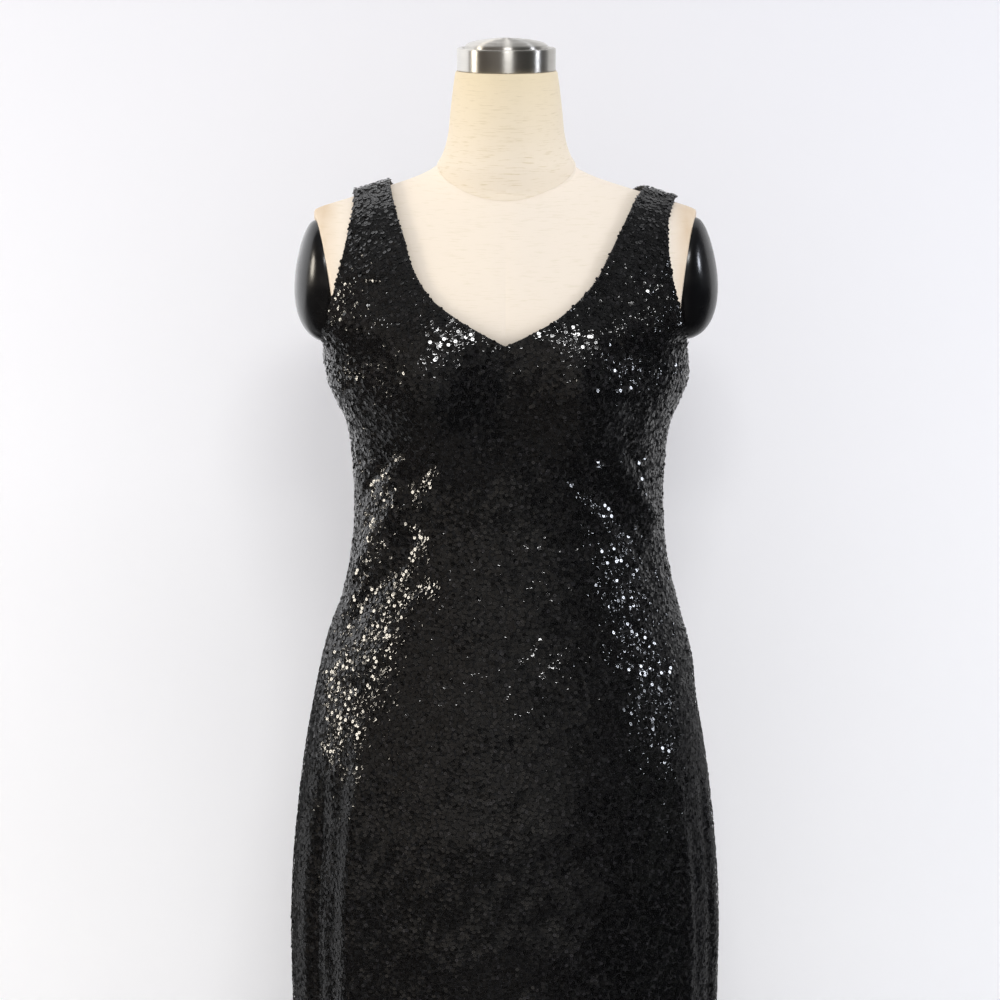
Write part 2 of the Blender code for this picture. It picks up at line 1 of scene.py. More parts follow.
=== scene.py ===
"""Looks of a black sequin maxi dress on a limbless dress form with a round base.

The dress is two knit panels, front and back, covered with overlapping flat sequins and bound at the
neckline and armholes. The form is a linen-covered torso, neck and arm plates with a turned steel neck
cap, glossy black arm caps, a steel pole and a painted base. Lengths are metres. The front faces -Y,
left and right are as seen from the front, so left is -X, and +Z is up.
"""

import logging
import math
from dataclasses import dataclass, field
from enum import Enum

import bmesh
import bpy
import numpy as np
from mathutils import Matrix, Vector


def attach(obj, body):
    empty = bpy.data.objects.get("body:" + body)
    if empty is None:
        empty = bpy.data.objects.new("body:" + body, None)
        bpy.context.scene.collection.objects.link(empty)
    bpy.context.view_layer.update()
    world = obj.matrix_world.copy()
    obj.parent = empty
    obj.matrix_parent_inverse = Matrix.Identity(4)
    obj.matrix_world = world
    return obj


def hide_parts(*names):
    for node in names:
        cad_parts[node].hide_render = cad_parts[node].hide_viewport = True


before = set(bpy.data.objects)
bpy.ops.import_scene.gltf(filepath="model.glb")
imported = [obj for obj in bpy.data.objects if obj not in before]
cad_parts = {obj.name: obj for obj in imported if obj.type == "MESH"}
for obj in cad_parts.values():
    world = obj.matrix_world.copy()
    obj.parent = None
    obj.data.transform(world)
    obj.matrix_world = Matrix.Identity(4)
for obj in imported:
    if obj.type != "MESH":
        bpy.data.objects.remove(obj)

LOG = logging.getLogger("dress_on_form")
ROOT_BODY = "root"
MM = 0.001
SEAM_GAP = 0.0003
HALF_GAP = SEAM_GAP / 2
SEED = 20
SHARP_EDGE_DEG = 38
HALVINGS = 40  # of the search for a way up a body
NORMAL_STEPS = (0.004, 0.0008)  # in angle and way
PATH_POINTS = 120  # on a binding's stretch
DISC_CELL_SHARE = 0.42  # a disc's radius in its cell of the texture map
WAVE_TURN = 20  # radians a metre of a wave texture at scale 1

Array = np.ndarray
Colour = tuple[float, float, float, float]
Faces = list[tuple[int, ...]]
Profile = tuple[tuple[float, float], ...]
Rows = tuple[tuple[float, ...], ...]
Zone = tuple[str, float, int]


class Facing(Enum):
    """Which way a panel of the dress faces. The value is the sign of Y."""

    FRONT = -1
    BACK = 1


class Side(Enum):
    """The left and right of the part as seen from the front. The value is the sign of X."""

    LEFT = -1
    RIGHT = 1


class Slot(Enum):
    """The material slots."""

    SEQUIN = "black_sequin_cloth"
    LINEN = "cream_linen"
    STEEL = "brushed_steel"
    GLOSS = "black_gloss_plastic"
    PAINT = "black_painted_steel"


# ---------------------------------------------------------------- sizes shared with the solids

HEM_HEIGHT = 0.040
UNDERARM_HEIGHT = 1.2777
FRONT_NECK_HEIGHT = 1.3137
BACK_NECK_HEIGHT = 1.400
SQUARENESS = 2.25  # of a section's superellipse, where 2 is an ellipse

#    height  half_width  front   back
FORM_SECTIONS = (
    (0.7950, 0.1380, 0.0780, 0.0900),
    (0.7990, 0.1480, 0.0870, 0.1010),
    (0.8100, 0.1550, 0.0940, 0.1100),
    (0.8500, 0.1665, 0.1040, 0.1250),
    (0.9000, 0.1760, 0.1120, 0.1380),
    (0.9300, 0.1780, 0.1140, 0.1410),
    (0.9800, 0.1690, 0.1120, 0.1330),
    (1.0300, 0.1520, 0.1060, 0.1160),
    (1.0800, 0.1380, 0.1010, 0.1000),
    (1.1380, 0.1310, 0.1000, 0.0920),
    (1.1900, 0.1380, 0.1040, 0.0900),
    (1.2300, 0.1500, 0.1120, 0.0920),
    (1.2620, 0.1545, 0.1200, 0.0950),
    (1.2850, 0.1570, 0.1240, 0.0985),
    (1.3000, 0.1670, 0.1260, 0.1010),
    (1.3300, 0.1900, 0.1280, 0.1050),
    (1.3700, 0.2050, 0.1140, 0.1040),
    (1.4080, 0.2140, 0.0900, 0.0910),
    (1.4370, 0.2160, 0.0660, 0.0705),
    (1.4592, 0.2170, 0.0420, 0.0470),
    (1.4729, 0.2170, 0.0200, 0.0240),
    (1.4781, 0.2170, 0.0090, 0.0110),
    (1.4795, 0.2170, 0.0000, 0.0000),
)

#    height  half_width  front   back
DRESS_SECTIONS = (
    (0.0400, 0.2160, 0.1600, 0.1600),
    (0.3000, 0.2170, 0.1590, 0.1610),
    (0.6100, 0.2180, 0.1570, 0.1630),
    (0.7200, 0.2182, 0.1550, 0.1650),
    (0.7800, 0.2145, 0.1520, 0.1670),
    (0.8250, 0.2097, 0.1490, 0.1670),
    (0.8800, 0.2025, 0.1440, 0.1650),
    (0.9300, 0.1935, 0.1380, 0.1600),
    (0.9900, 0.1805, 0.1300, 0.1490),
    (1.0400, 0.1665, 0.1240, 0.1350),
    (1.0800, 0.1575, 0.1200, 0.1230),
    (1.1380, 0.1522, 0.1170, 0.1100),
    (1.1800, 0.1535, 0.1180, 0.1060),
    (1.2200, 0.1592, 0.1230, 0.1050),
    (1.2450, 0.1695, 0.1265, 0.1065),
    (1.2620, 0.1768, 0.1290, 0.1080),
    (1.2850, 0.1798, 0.1320, 0.1095),
    (1.3000, 0.1818, 0.1335, 0.1110),
    (1.3317, 0.1955, 0.1345, 0.1138),
    (1.3720, 0.2105, 0.1195, 0.1105),
    (1.4125, 0.2190, 0.0960, 0.0980),
    (1.4420, 0.2205, 0.0710, 0.0755),
    (1.4655, 0.2215, 0.0460, 0.0510),
    (1.4796, 0.2215, 0.0225, 0.0265),
    (1.4851, 0.2215, 0.0100, 0.0120),
    (1.4865, 0.2215, HALF_GAP, HALF_GAP),
)

# Corresponding points of the neckline and armhole, up to the shoulder seam, which has no height
#    neck_left  neck_right  neck_z   arm_left  arm_right  arm_z
FRONT_EDGES = (
    (0.0000, 0.0000, FRONT_NECK_HEIGHT, -0.1798, 0.1798, UNDERARM_HEIGHT),
    (-0.0225, 0.0255, 1.3258, -0.1790, 0.1790, 1.2900),
    (-0.0460, 0.0500, 1.3394, -0.1765, 0.1760, 1.3080),
    (-0.0687, 0.0701, 1.3551, -0.1714, 0.1701, 1.3285),
    (-0.0831, 0.0874, 1.3729, -0.1665, 0.1650, 1.3520),
    (-0.0919, 0.0981, 1.3907, -0.1600, 0.1600, 1.3760),
    (-0.0972, 0.1080, 1.4083, -0.1540, 0.1572, 1.4010),
    (-0.1040, 0.1180, 1.4260, -0.1490, 0.1580, 1.4240),
    (-0.1095, 0.1285, 1.4434, -0.1468, 0.1645, 1.4400),
    (-0.1150, 0.1395, None, -0.1480, 0.1685, None),
)

#    neck_left  neck_right  neck_z   arm_left  arm_right  arm_z
BACK_EDGES = (
    (0.0000, 0.0000, BACK_NECK_HEIGHT, -0.1798, 0.1798, UNDERARM_HEIGHT),
    (-0.0190, 0.0200, 1.4010, -0.1792, 0.1792, 1.2930),
    (-0.0370, 0.0400, 1.4045, -0.1770, 0.1765, 1.3130),
    (-0.0540, 0.0590, 1.4100, -0.1725, 0.1715, 1.3350),
    (-0.0700, 0.0770, 1.4175, -0.1670, 0.1665, 1.3570),
    (-0.0840, 0.0930, 1.4260, -0.1610, 0.1630, 1.3790),
    (-0.0950, 0.1060, 1.4345, -0.1555, 0.1615, 1.4010),
    (-0.1050, 0.1215, 1.4425, -0.1505, 0.1620, 1.4200),
    (-0.1115, 0.1330, 1.4505, -0.1475, 0.1655, 1.4370),
    (-0.1150, 0.1395, None, -0.1480, 0.1685, None),
)

# The folds that the solids have too. Angles go round from the front's middle, +90 at the right seam.
#    from_deg  from_z  to_deg  to_z    half_width  rise
MAIN_FOLDS = (
    (-41.5, 0.970, -40.5, 0.020, 0.018, 0.0085),
    (-60.0, 0.930, -59.0, 0.020, 0.014, -0.0045),
    (54.5, 0.930, 54.5, 0.020, 0.011, 0.0040),
    (72.5, 0.930, 72.5, 0.020, 0.011, -0.0045),
    (90.0, 1.300, 90.0, 0.930, 0.040, 0.0048),
    (-90.0, 1.300, -90.0, 1.000, 0.035, -0.0038),
    (118.0, 0.940, 116.0, 0.020, 0.020, -0.0055),
    (140.0, 0.860, 138.0, 0.020, 0.026, 0.0065),
    (164.0, 0.780, 165.0, 0.020, 0.022, -0.0050),
    (-117.0, 0.920, -115.0, 0.020, 0.022, -0.0055),
    (-138.0, 0.880, -140.0, 0.020, 0.026, 0.0065),
    (-165.0, 0.760, -163.0, 0.020, 0.022, -0.0050),
    (-34.0, 1.175, -72.0, 1.060, 0.016, 0.0045),
    (-30.0, 1.130, -66.0, 1.010, 0.014, -0.0030),
    (36.0, 1.205, 74.0, 1.120, 0.014, 0.0045),
    (32.0, 1.170, 70.0, 1.070, 0.015, -0.0035),
    (-148.0, 1.170, -108.0, 1.100, 0.018, 0.0040),
    (146.0, 1.170, 106.0, 1.100, 0.018, 0.0040),
)

# Smaller creases, which only the cloth here has
#    from_deg  from_z  to_deg  to_z    half_width  rise
FINE_CREASES = (
    (-60.0, 0.900, -59.0, 0.020, 0.012, -0.0025),
    (-15.5, 1.203, -45.0, 1.115, 0.010, 0.0018),
    (-32.5, 1.209, -57.0, 1.141, 0.009, 0.0016),
    (22.0, 1.222, 42.0, 1.160, 0.009, 0.0016),
    (9.0, 1.190, 43.0, 1.125, 0.010, 0.0018),
    (-24.0, 0.840, -26.0, 0.020, 0.020, -0.0016),
    (14.0, 0.720, 15.0, 0.020, 0.024, 0.0016),
    (-6.0, 0.560, -7.0, 0.020, 0.018, -0.0014),
    (-41.0, 1.205, -80.0, 1.120, 0.008, -0.0016),
    (-44.0, 1.110, -78.0, 1.010, 0.008, 0.0016),
    (-25.0, 1.075, -52.0, 0.975, 0.011, 0.0012),
    (43.0, 1.150, 80.0, 1.045, 0.008, 0.0016),
    (28.0, 1.110, 58.0, 1.000, 0.011, 0.0012),
    (-66.0, 1.245, -88.0, 1.215, 0.006, -0.0014),
    (66.0, 1.250, 88.0, 1.222, 0.006, -0.0014),
    (-62.0, 1.275, -80.0, 1.330, 0.008, 0.0012),
    (62.0, 1.270, 80.0, 1.325, 0.008, 0.0012),
    (-170.0, 1.150, -130.0, 1.115, 0.010, -0.0014),
    (172.0, 1.145, 134.0, 1.105, 0.010, -0.0014),
    (-160.0, 1.060, -118.0, 1.010, 0.012, 0.0012),
    (158.0, 1.055, 120.0, 1.000, 0.012, 0.0012),
    (-128.0, 0.900, -127.0, 0.060, 0.007, -0.0018),
    (127.0, 0.900, 127.0, 0.060, 0.007, -0.0018),
    (-152.0, 0.700, -151.0, 0.020, 0.012, -0.0014),
    (151.0, 0.720, 152.0, 0.020, 0.012, 0.0014),
    (180.0, 0.640, 179.0, 0.020, 0.018, 0.0014),
)

# Small places where the sequins turn with the cloth towards the light or away from it
#    angle  height  half_deg  half_height  turned_right_deg  turned_up_deg
FRONT_TURNS = (
    #    the tops of the bust, and their sides, which stay dark
    (-15.5, 1.319, 4.0, 0.007, 3.0, 4.0),
    (-6.5, 1.322, 3.0, 0.006, 0.0, 11.0),
    (0.0, 1.314, 2.2, 0.005, 1.0, 18.0),
    (20.0, 1.319, 3.5, 0.007, -9.0, 3.0),
    (-16.0, 1.290, 9.0, 0.015, 0.0, -9.0),
    (-44.0, 1.302, 18.0, 0.060, 16.0, -6.0),
    (42.0, 1.325, 15.0, 0.055, -14.0, -5.0),
    (17.0, 1.290, 9.0, 0.015, 0.0, -9.0),
    (28.0, 1.285, 8.0, 0.020, 6.0, -9.0),
    (-31.0, 1.285, 8.0, 0.020, 5.0, -9.0),
    #    the drag lines from the bust to the left side
    (-39.0, 1.203, 5.0, 0.009, 0.0, 20.0),
    (-48.0, 1.182, 6.0, 0.010, 12.0, 11.0),
    (-58.0, 1.162, 6.0, 0.010, 18.0, 10.0),
    (-27.0, 1.177, 4.0, 0.010, -13.0, 15.0),
    (-30.0, 1.158, 4.0, 0.010, -15.0, 18.0),
    (-24.0, 1.190, 3.0, 0.008, -20.0, 24.0),
    (-34.0, 1.134, 4.0, 0.008, -17.0, 19.0),
    (-55.0, 1.122, 6.0, 0.014, 19.0, 5.0),
    (-47.0, 1.114, 4.0, 0.012, 1.0, 11.0),
    (-55.0, 1.094, 7.0, 0.012, 2.0, 12.0),
    (-28.0, 1.120, 4.0, 0.010, -14.0, 13.0),
    #    the left hip
    (-31.0, 1.062, 6.0, 0.014, -10.0, 6.0),
    (-25.0, 1.074, 4.0, 0.012, -22.0, 12.0),
    (-39.0, 1.018, 6.0, 0.020, -10.0, 8.0),
    (-38.0, 0.980, 6.0, 0.016, -9.0, 8.0),
    (-65.0, 0.968, 8.0, 0.024, 18.0, 7.0),
    (-56.0, 0.932, 6.0, 0.014, 7.0, 8.0),
    (-60.0, 0.902, 4.0, 0.010, 9.0, 10.0),
    (-28.0, 0.876, 1.6, 0.004, -18.0, 15.0),
    #    the line from the bust down to the right hip
    (31.5, 1.195, 4.0, 0.010, 9.0, 23.0),
    (20.0, 1.178, 3.0, 0.007, 19.0, 16.0),
    (25.5, 1.158, 4.0, 0.010, 15.0, 14.0),
    (28.0, 1.130, 3.5, 0.010, 15.0, 13.0),
    (34.0, 1.104, 3.5, 0.010, 9.0, 11.0),
    (33.0, 1.078, 3.0, 0.008, 14.0, 12.0),
    (38.5, 1.057, 3.5, 0.010, 9.0, 10.0),
    (42.0, 1.030, 3.5, 0.010, 4.0, 8.0),
    (48.0, 1.014, 4.0, 0.012, 0.0, 8.0),
    (53.0, 0.992, 4.0, 0.011, -7.0, 7.0),
    (55.5, 0.972, 3.0, 0.008, -9.0, 8.0),
    (58.0, 0.952, 1.6, 0.004, -12.0, 10.0),
    (55.0, 0.914, 1.6, 0.004, -9.0, 11.0),
)
FOLD_RADIUS = 0.19  # at which the folds' angles become widths
FOLD_FADE = 0.15  # share of a fold's length over which its end runs out

BUST_X, BUST_Z = 0.083, 1.262
FORM_BUST_RISE, DRESS_BUST_RISE = 0.026, 0.029
BUST_SPREAD_X, BUST_SPREAD_UP, BUST_SPREAD_DOWN = 0.048, 0.055, 0.048

SHOULDER_SLOPE, SHOULDER_ROUND = 0.31, 0.030
SLOPE_FROM, SLOPE_FULL = 1.290, 1.410
TIP_FROM, TIP_ROUND = 0.175, 8.5
NECK_FLARE, NECK_FLARE_REACH, NECK_RADIUS = 0.012, 0.013, 0.058

#    height  half_width  half_depth  middle_y
NECK_SECTIONS = (
    (1.3900, 0.0600, 0.0560, 0.0020),
    (1.4600, 0.0690, 0.0610, -0.0010),
    (1.4755, 0.0670, 0.0618, -0.0020),
    (1.4813, 0.0634, 0.0610, -0.0025),
    (1.4880, 0.0606, 0.0600, -0.0030),
    (1.4980, 0.0578, 0.0585, -0.0040),
    (1.5280, 0.0541, 0.0560, -0.0065),
    (1.5580, 0.0503, 0.0520, -0.0090),
    (1.5630, 0.0495, 0.0512, -0.0095),
    (1.5648, 0.0480, 0.0496, -0.0095),
)
NECK_TOP, NECK_LEAN = NECK_SECTIONS[-1][0], NECK_SECTIONS[-1][3]
NECK_X = 0.0012
NECK_SEAM_HEIGHT, NECK_SEAM_FALL = 1.4803, 0.55

# The arm ends' foot and top, as distance out and height, and how many degrees they turn to the front
ARM_ENDS = {
    Side.LEFT: ((0.1690, 1.2977), (0.1855, 1.4187), 9.0),
    Side.RIGHT: ((0.1722, 1.3009), (0.1865, 1.4212), 8.0),
}
ARM_CUT_FROM = 1.235
CUT_SNAP = 2e-6  # a point this near a cutting plane lies on it
POLE_RADIUS = 0.016
BASE_RADIUS = 0.165


# ---------------------------------------------------------------- colours, nodes and meshes


def linear(code: str) -> Colour:
    """Turns an sRGB hex code into the linear RGBA colour that a shader takes.

    Args:
        code: The colour as "#RRGGBB".

    Returns:
        The linear colour with an alpha of 1.
    """
    parts = [int(code[i : i + 2], 16) / 255 for i in (1, 3, 5)]
    red, green, blue = (c / 12.92 if c <= 0.04045 else ((c + 0.055) / 1.055) ** 2.4 for c in parts)
    return (red, green, blue, 1.0)


def add_node(
    tree: bpy.types.NodeTree, kind: str, inputs: dict | None = None, **settings: object
) -> bpy.types.Node:
    """Adds a node with its settings and links.

    Args:
        tree: The node tree.
        kind: The node's type, such as "ShaderNodeTexNoise".
        inputs: Values or output sockets by the name or number of the input.
        **settings: Properties of the node.

    Returns:
        The new node.
    """
    node = tree.nodes.new(kind)
    for name, value in settings.items():
        setattr(node, name, value)
    for key, value in (inputs or {}).items():
        if isinstance(value, bpy.types.NodeSocket):
            tree.links.new(value, node.inputs[key])
        else:
            node.inputs[key].default_value = value
    return node


def set_stops(ramp: bpy.types.Node, rows: list[tuple[float, Colour]]) -> None:
    """Gives a colour ramp its stops.

    Args:
        ramp: The ramp's node.
        rows: Each stop's place and colour, lowest first.
    """
    stops = ramp.color_ramp.elements
    for stop, (place, colour) in zip(stops, (rows[0], rows[-1])):
        stop.position, stop.color = place, colour
    for place, colour in rows[1:-1]:
        stops.new(place).color = colour


def new_material(name: str) -> tuple[bpy.types.Material, bpy.types.NodeTree, bpy.types.Node]:
    """Makes an empty node material.

    Args:
        name: The material's name.

    Returns:
        The material, its tree and its Principled BSDF.
    """
    material = bpy.data.materials.new(name)
    material.use_nodes = True
    tree = material.node_tree
    return material, tree, tree.nodes["Principled BSDF"]


def mesh_object(
    name: str, points: Array, faces: Faces, material: bpy.types.Material
) -> bpy.types.Object:
    """Makes a smoothly shaded object from points and faces, riding on the part's one body.

    Args:
        name: The piece's name.
        points: One row of x, y, z for each point.
        faces: The points of each face.
        material: The piece's finish.

    Returns:
        The object.
    """
    mesh = bpy.data.meshes.new(name)
    mesh.from_pydata(np.asarray(points, float).tolist(), [], faces)
    return dress_mesh(name, mesh, material)


def dress_mesh(name: str, mesh: bpy.types.Mesh, material: bpy.types.Material) -> bpy.types.Object:
    """Wraps a mesh in an object with its finish, shaded smooth, riding on the part's one body.

    Args:
        name: The piece's name.
        mesh: The piece's mesh.
        material: The piece's finish.

    Returns:
        The object.
    """
    mesh.shade_smooth()
    mesh.set_sharp_from_angle(angle=math.radians(SHARP_EDGE_DEG))
    mesh.materials.append(material)
    piece = bpy.data.objects.new(name, mesh)
    bpy.context.scene.collection.objects.link(piece)
    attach(piece, ROOT_BODY)
    return piece


def ring_quads(rings: int, segments: int) -> Faces:
    """The quads between rings of points, each ring closed.

    Args:
        rings: How many rings there are.
        segments: How many points each has.

    Returns:
        The quads.
    """
    faces = []
    for ring in range(rings - 1):
        low, high = ring * segments, (ring + 1) * segments
        for i in range(segments):
            j = (i + 1) % segments
            faces.append((low + i, low + j, high + j, high + i))
    return faces


def turned(profile: Profile, segments: int, middle: tuple[float, float, float]) -> tuple[Array, Faces]:
    """Points and faces of a closed body turned about Z.

    Args:
        profile: Rows of radius and height, foot first.
        segments: How many facets go round.
        middle: Where the turning axis and the profile's zero height lie.

    Returns:
        The points and the faces.
    """
    turns = np.linspace(0, 2 * math.pi, segments, endpoint=False)
    rows = np.array(profile)
    rings = np.stack(
        [rows[:, :1] * np.cos(turns), rows[:, :1] * np.sin(turns), rows[:, 1:] + 0 * turns], -1
    )
    points = rings.reshape(-1, 3) + np.array(middle)
    faces = ring_quads(len(rows), segments)
    last = (len(rows) - 1) * segments
    faces.append(tuple(reversed(range(segments))))
    faces.append(tuple(range(last, last + segments)))
    return points, faces


def read_table(table: Array | Rows, at: Array | float) -> Array:
    """Reads all columns of a table at values of its first column, along smooth curves.

    Args:
        table: Rows whose first column rises.
        at: Where to read.

    Returns:
        The other columns' values, in a last axis.
    """
    rows = np.array(table, float)
    knots, values = rows[:, 0], rows[:, 1:]
    slopes = np.gradient(values, knots, axis=0)
    at = np.clip(np.asarray(at, float), knots[0], knots[-1])
    k = np.clip(np.searchsorted(knots, at) - 1, 0, len(knots) - 2)
    span = (knots[k + 1] - knots[k])[..., None]
    s = ((at - knots[k])[..., None]) / span
    return (
        values[k] * (1 + 2 * s) * (1 - s) ** 2
        + slopes[k] * span * s * (1 - s) ** 2
        + values[k + 1] * s**2 * (3 - 2 * s)
        + slopes[k + 1] * span * s**2 * (s - 1)
    )


def ease_in(value: Array, start: float, end: float) -> Array:
    """0 before start, 1 past end, and a smooth step between."""
    s = np.clip((value - start) / (end - start), 0, 1)
    return s * s * (3 - 2 * s)


def unit(vectors: Array) -> Array:
    """The vectors at length 1."""
    return vectors / np.maximum(np.linalg.norm(vectors, axis=-1, keepdims=True), 1e-12)


def wall_faces(points: Array, quads: Faces, inner: Array) -> tuple[Array, Faces]:
    """Closes an open surface into a wall.

    Args:
        points: The outer face's points.
        quads: The outer face's quads.
        inner: The inner face's points, in the same order.

    Returns:
        All points and faces.
    """
    count = len(points)
    directed = {(q[i], q[(i + 1) % 4]) for q in quads for i in range(4)}
    rim = sorted((a, b) for a, b in directed if (b, a) not in directed)
    faces = [tuple(q) for q in quads]
    faces += [tuple(i + count for i in reversed(q)) for q in quads]
    faces += [(b, a, a + count, b + count) for a, b in rim]
    return np.vstack([points, inner]), faces


def parts_above(shape: bmesh.types.BMesh, height: float) -> list:
    """The faces that lie wholly over a height, with their edges and points.

    Args:
        shape: The shape.
        height: The height.

    Returns:
        The points, the edges and the faces.
    """
    faces = [f for f in shape.faces if min(v.co.z for v in f.verts) >= height]
    edges = dict.fromkeys(e for f in faces for e in f.edges)
    points = dict.fromkeys(v for f in faces for v in f.verts)
    return [*points, *edges, *faces]


# ---------------------------------------------------------------- finishes


@dataclass(frozen=True)
class SequinFilm:
    """Polyester film, dyed black through and die-cut into flat discs with a hole for the thread.

    The film is smooth, so a disc mirrors a lamp over its whole face, and dark, so it shows little else.
    The die leaves a slightly raised rim, which glints as a fine ring; the rim's paler colour is a
    painted highlight of that ring.
    """

    #    share of the discs  colour
    tones: tuple[tuple[float, str], ...] = (
        (0.00, "#010101"),
        (0.35, "#030304"),
        (0.60, "#070709"),
        (0.80, "#0C0D0E"),
        (0.93, "#161516"),
        (1.00, "#29282A"),
    )
    # the rim's paler colour: a painted highlight of the ring glint
    rim: str = "#0E0E10"
    hole: str = "#030303"
    ior: float = 1.65
    least_roughness: float = 0.065
    most_roughness: float = 0.13
    hole_share: float = 0.25  # 1 mm of a 4 mm disc
    hole_blur: float = 0.15
    rim_share: float = 0.84
    rim_blur: float = 0.10
    rim_height_mm: float = 0.045

    def material(self) -> bpy.types.Material:
        """Builds the material.

        Returns:
            The material, which reads each disc's own place from the disc_place attribute.
        """
        material, tree, shader = new_material("polyester_film_sequin")
        place = add_node(tree, "ShaderNodeAttribute", attribute_name="disc_place")
        parts = add_node(tree, "ShaderNodeSeparateXYZ", {0: place.outputs["Vector"]})
        flat = add_node(tree, "ShaderNodeCombineXYZ", {0: parts.outputs[0], 1: parts.outputs[1]})
        reach = add_node(tree, "ShaderNodeVectorMath", {0: flat.outputs[0]}, operation="LENGTH")
        film = add_node(
            tree,
            "ShaderNodeMapRange",
            {
                0: reach.outputs["Value"],
                1: self.hole_share * (1 - self.hole_blur),
                2: self.hole_share * (1 + self.hole_blur),
            },
        )
        edge = add_node(
            tree,
            "ShaderNodeMapRange",
            {
                0: reach.outputs["Value"],
                1: self.rim_share * (1 - self.rim_blur),
                2: self.rim_share * (1 + self.rim_blur),
            },
        )
        ramp = add_node(tree, "ShaderNodeValToRGB", {0: parts.outputs[2]})
        set_stops(ramp, [(share, linear(code)) for share, code in self.tones])
        # paints the paler rim on each disc: a painted highlight of the ring glint
        face = add_node(
            tree,
            "ShaderNodeMix",
            {0: edge.outputs[0], 6: ramp.outputs[0], 7: linear(self.rim)},
            data_type="RGBA",
        )
        colour = add_node(
            tree,
            "ShaderNodeMix",
            {0: film.outputs[0], 6: linear(self.hole), 7: face.outputs[2]},
            data_type="RGBA",
        )
        gloss = add_node(
            tree,
            "ShaderNodeMapRange",
            {0: parts.outputs[2], 3: self.least_roughness, 4: self.most_roughness},
        )
        roughness = add_node(
            tree, "ShaderNodeMix", {0: film.outputs[0], 2: 1.0, 3: gloss.outputs[0]}, data_type="FLOAT"
        )
        bump = add_node(
            tree,
            "ShaderNodeBump",
            {"Height": edge.outputs[0], "Strength": 1.0, "Distance": self.rim_height_mm * MM},
        )
        tree.links.new(colour.outputs[2], shader.inputs["Base Color"])
        tree.links.new(roughness.outputs[0], shader.inputs["Roughness"])
        tree.links.new(bump.outputs[0], shader.inputs["Normal"])
        shader.inputs["IOR"].default_value = self.ior
        return material


@dataclass(frozen=True)
class BlackKnit:
    """Black polyester knit: matt, with fine ribs that only just show."""

    colour: str = "#0A0A0B"
    rib: str = "#121214"
    stitch_mm: float = 1.4  # real ones are 0.7 mm apart, too fine to show
    unevenness: float = 1.5
    relief_mm: float = 0.4
    relief_strength: float = 0.4
    roughness: float = 0.82
    sheen: float = 0.25

    def material(self) -> bpy.types.Material:
        """Builds the material.

        Returns:
            The material.
        """
        material, tree, shader = new_material("black_polyester_knit")
        place = add_node(tree, "ShaderNodeTexCoord")
        ribs = add_node(
            tree,
            "ShaderNodeTexWave",
            {
                "Vector": place.outputs["Object"],
                "Scale": math.tau / WAVE_TURN / (self.stitch_mm * MM),
                "Distortion": self.unevenness,
            },
            bands_direction="X",
        )
        colour = add_node(
            tree,
            "ShaderNodeMix",
            {0: ribs.outputs["Fac"], 6: linear(self.colour), 7: linear(self.rib)},
            data_type="RGBA",
        )
        bump = add_node(
            tree,
            "ShaderNodeBump",
            {
                "Height": ribs.outputs["Fac"],
                "Strength": self.relief_strength,
                "Distance": self.relief_mm * MM,
            },
        )
        tree.links.new(colour.outputs[2], shader.inputs["Base Color"])
        tree.links.new(bump.outputs[0], shader.inputs["Normal"])
        shader.inputs["Roughness"].default_value = self.roughness
        shader.inputs["Sheen Weight"].default_value = self.sheen
        return material


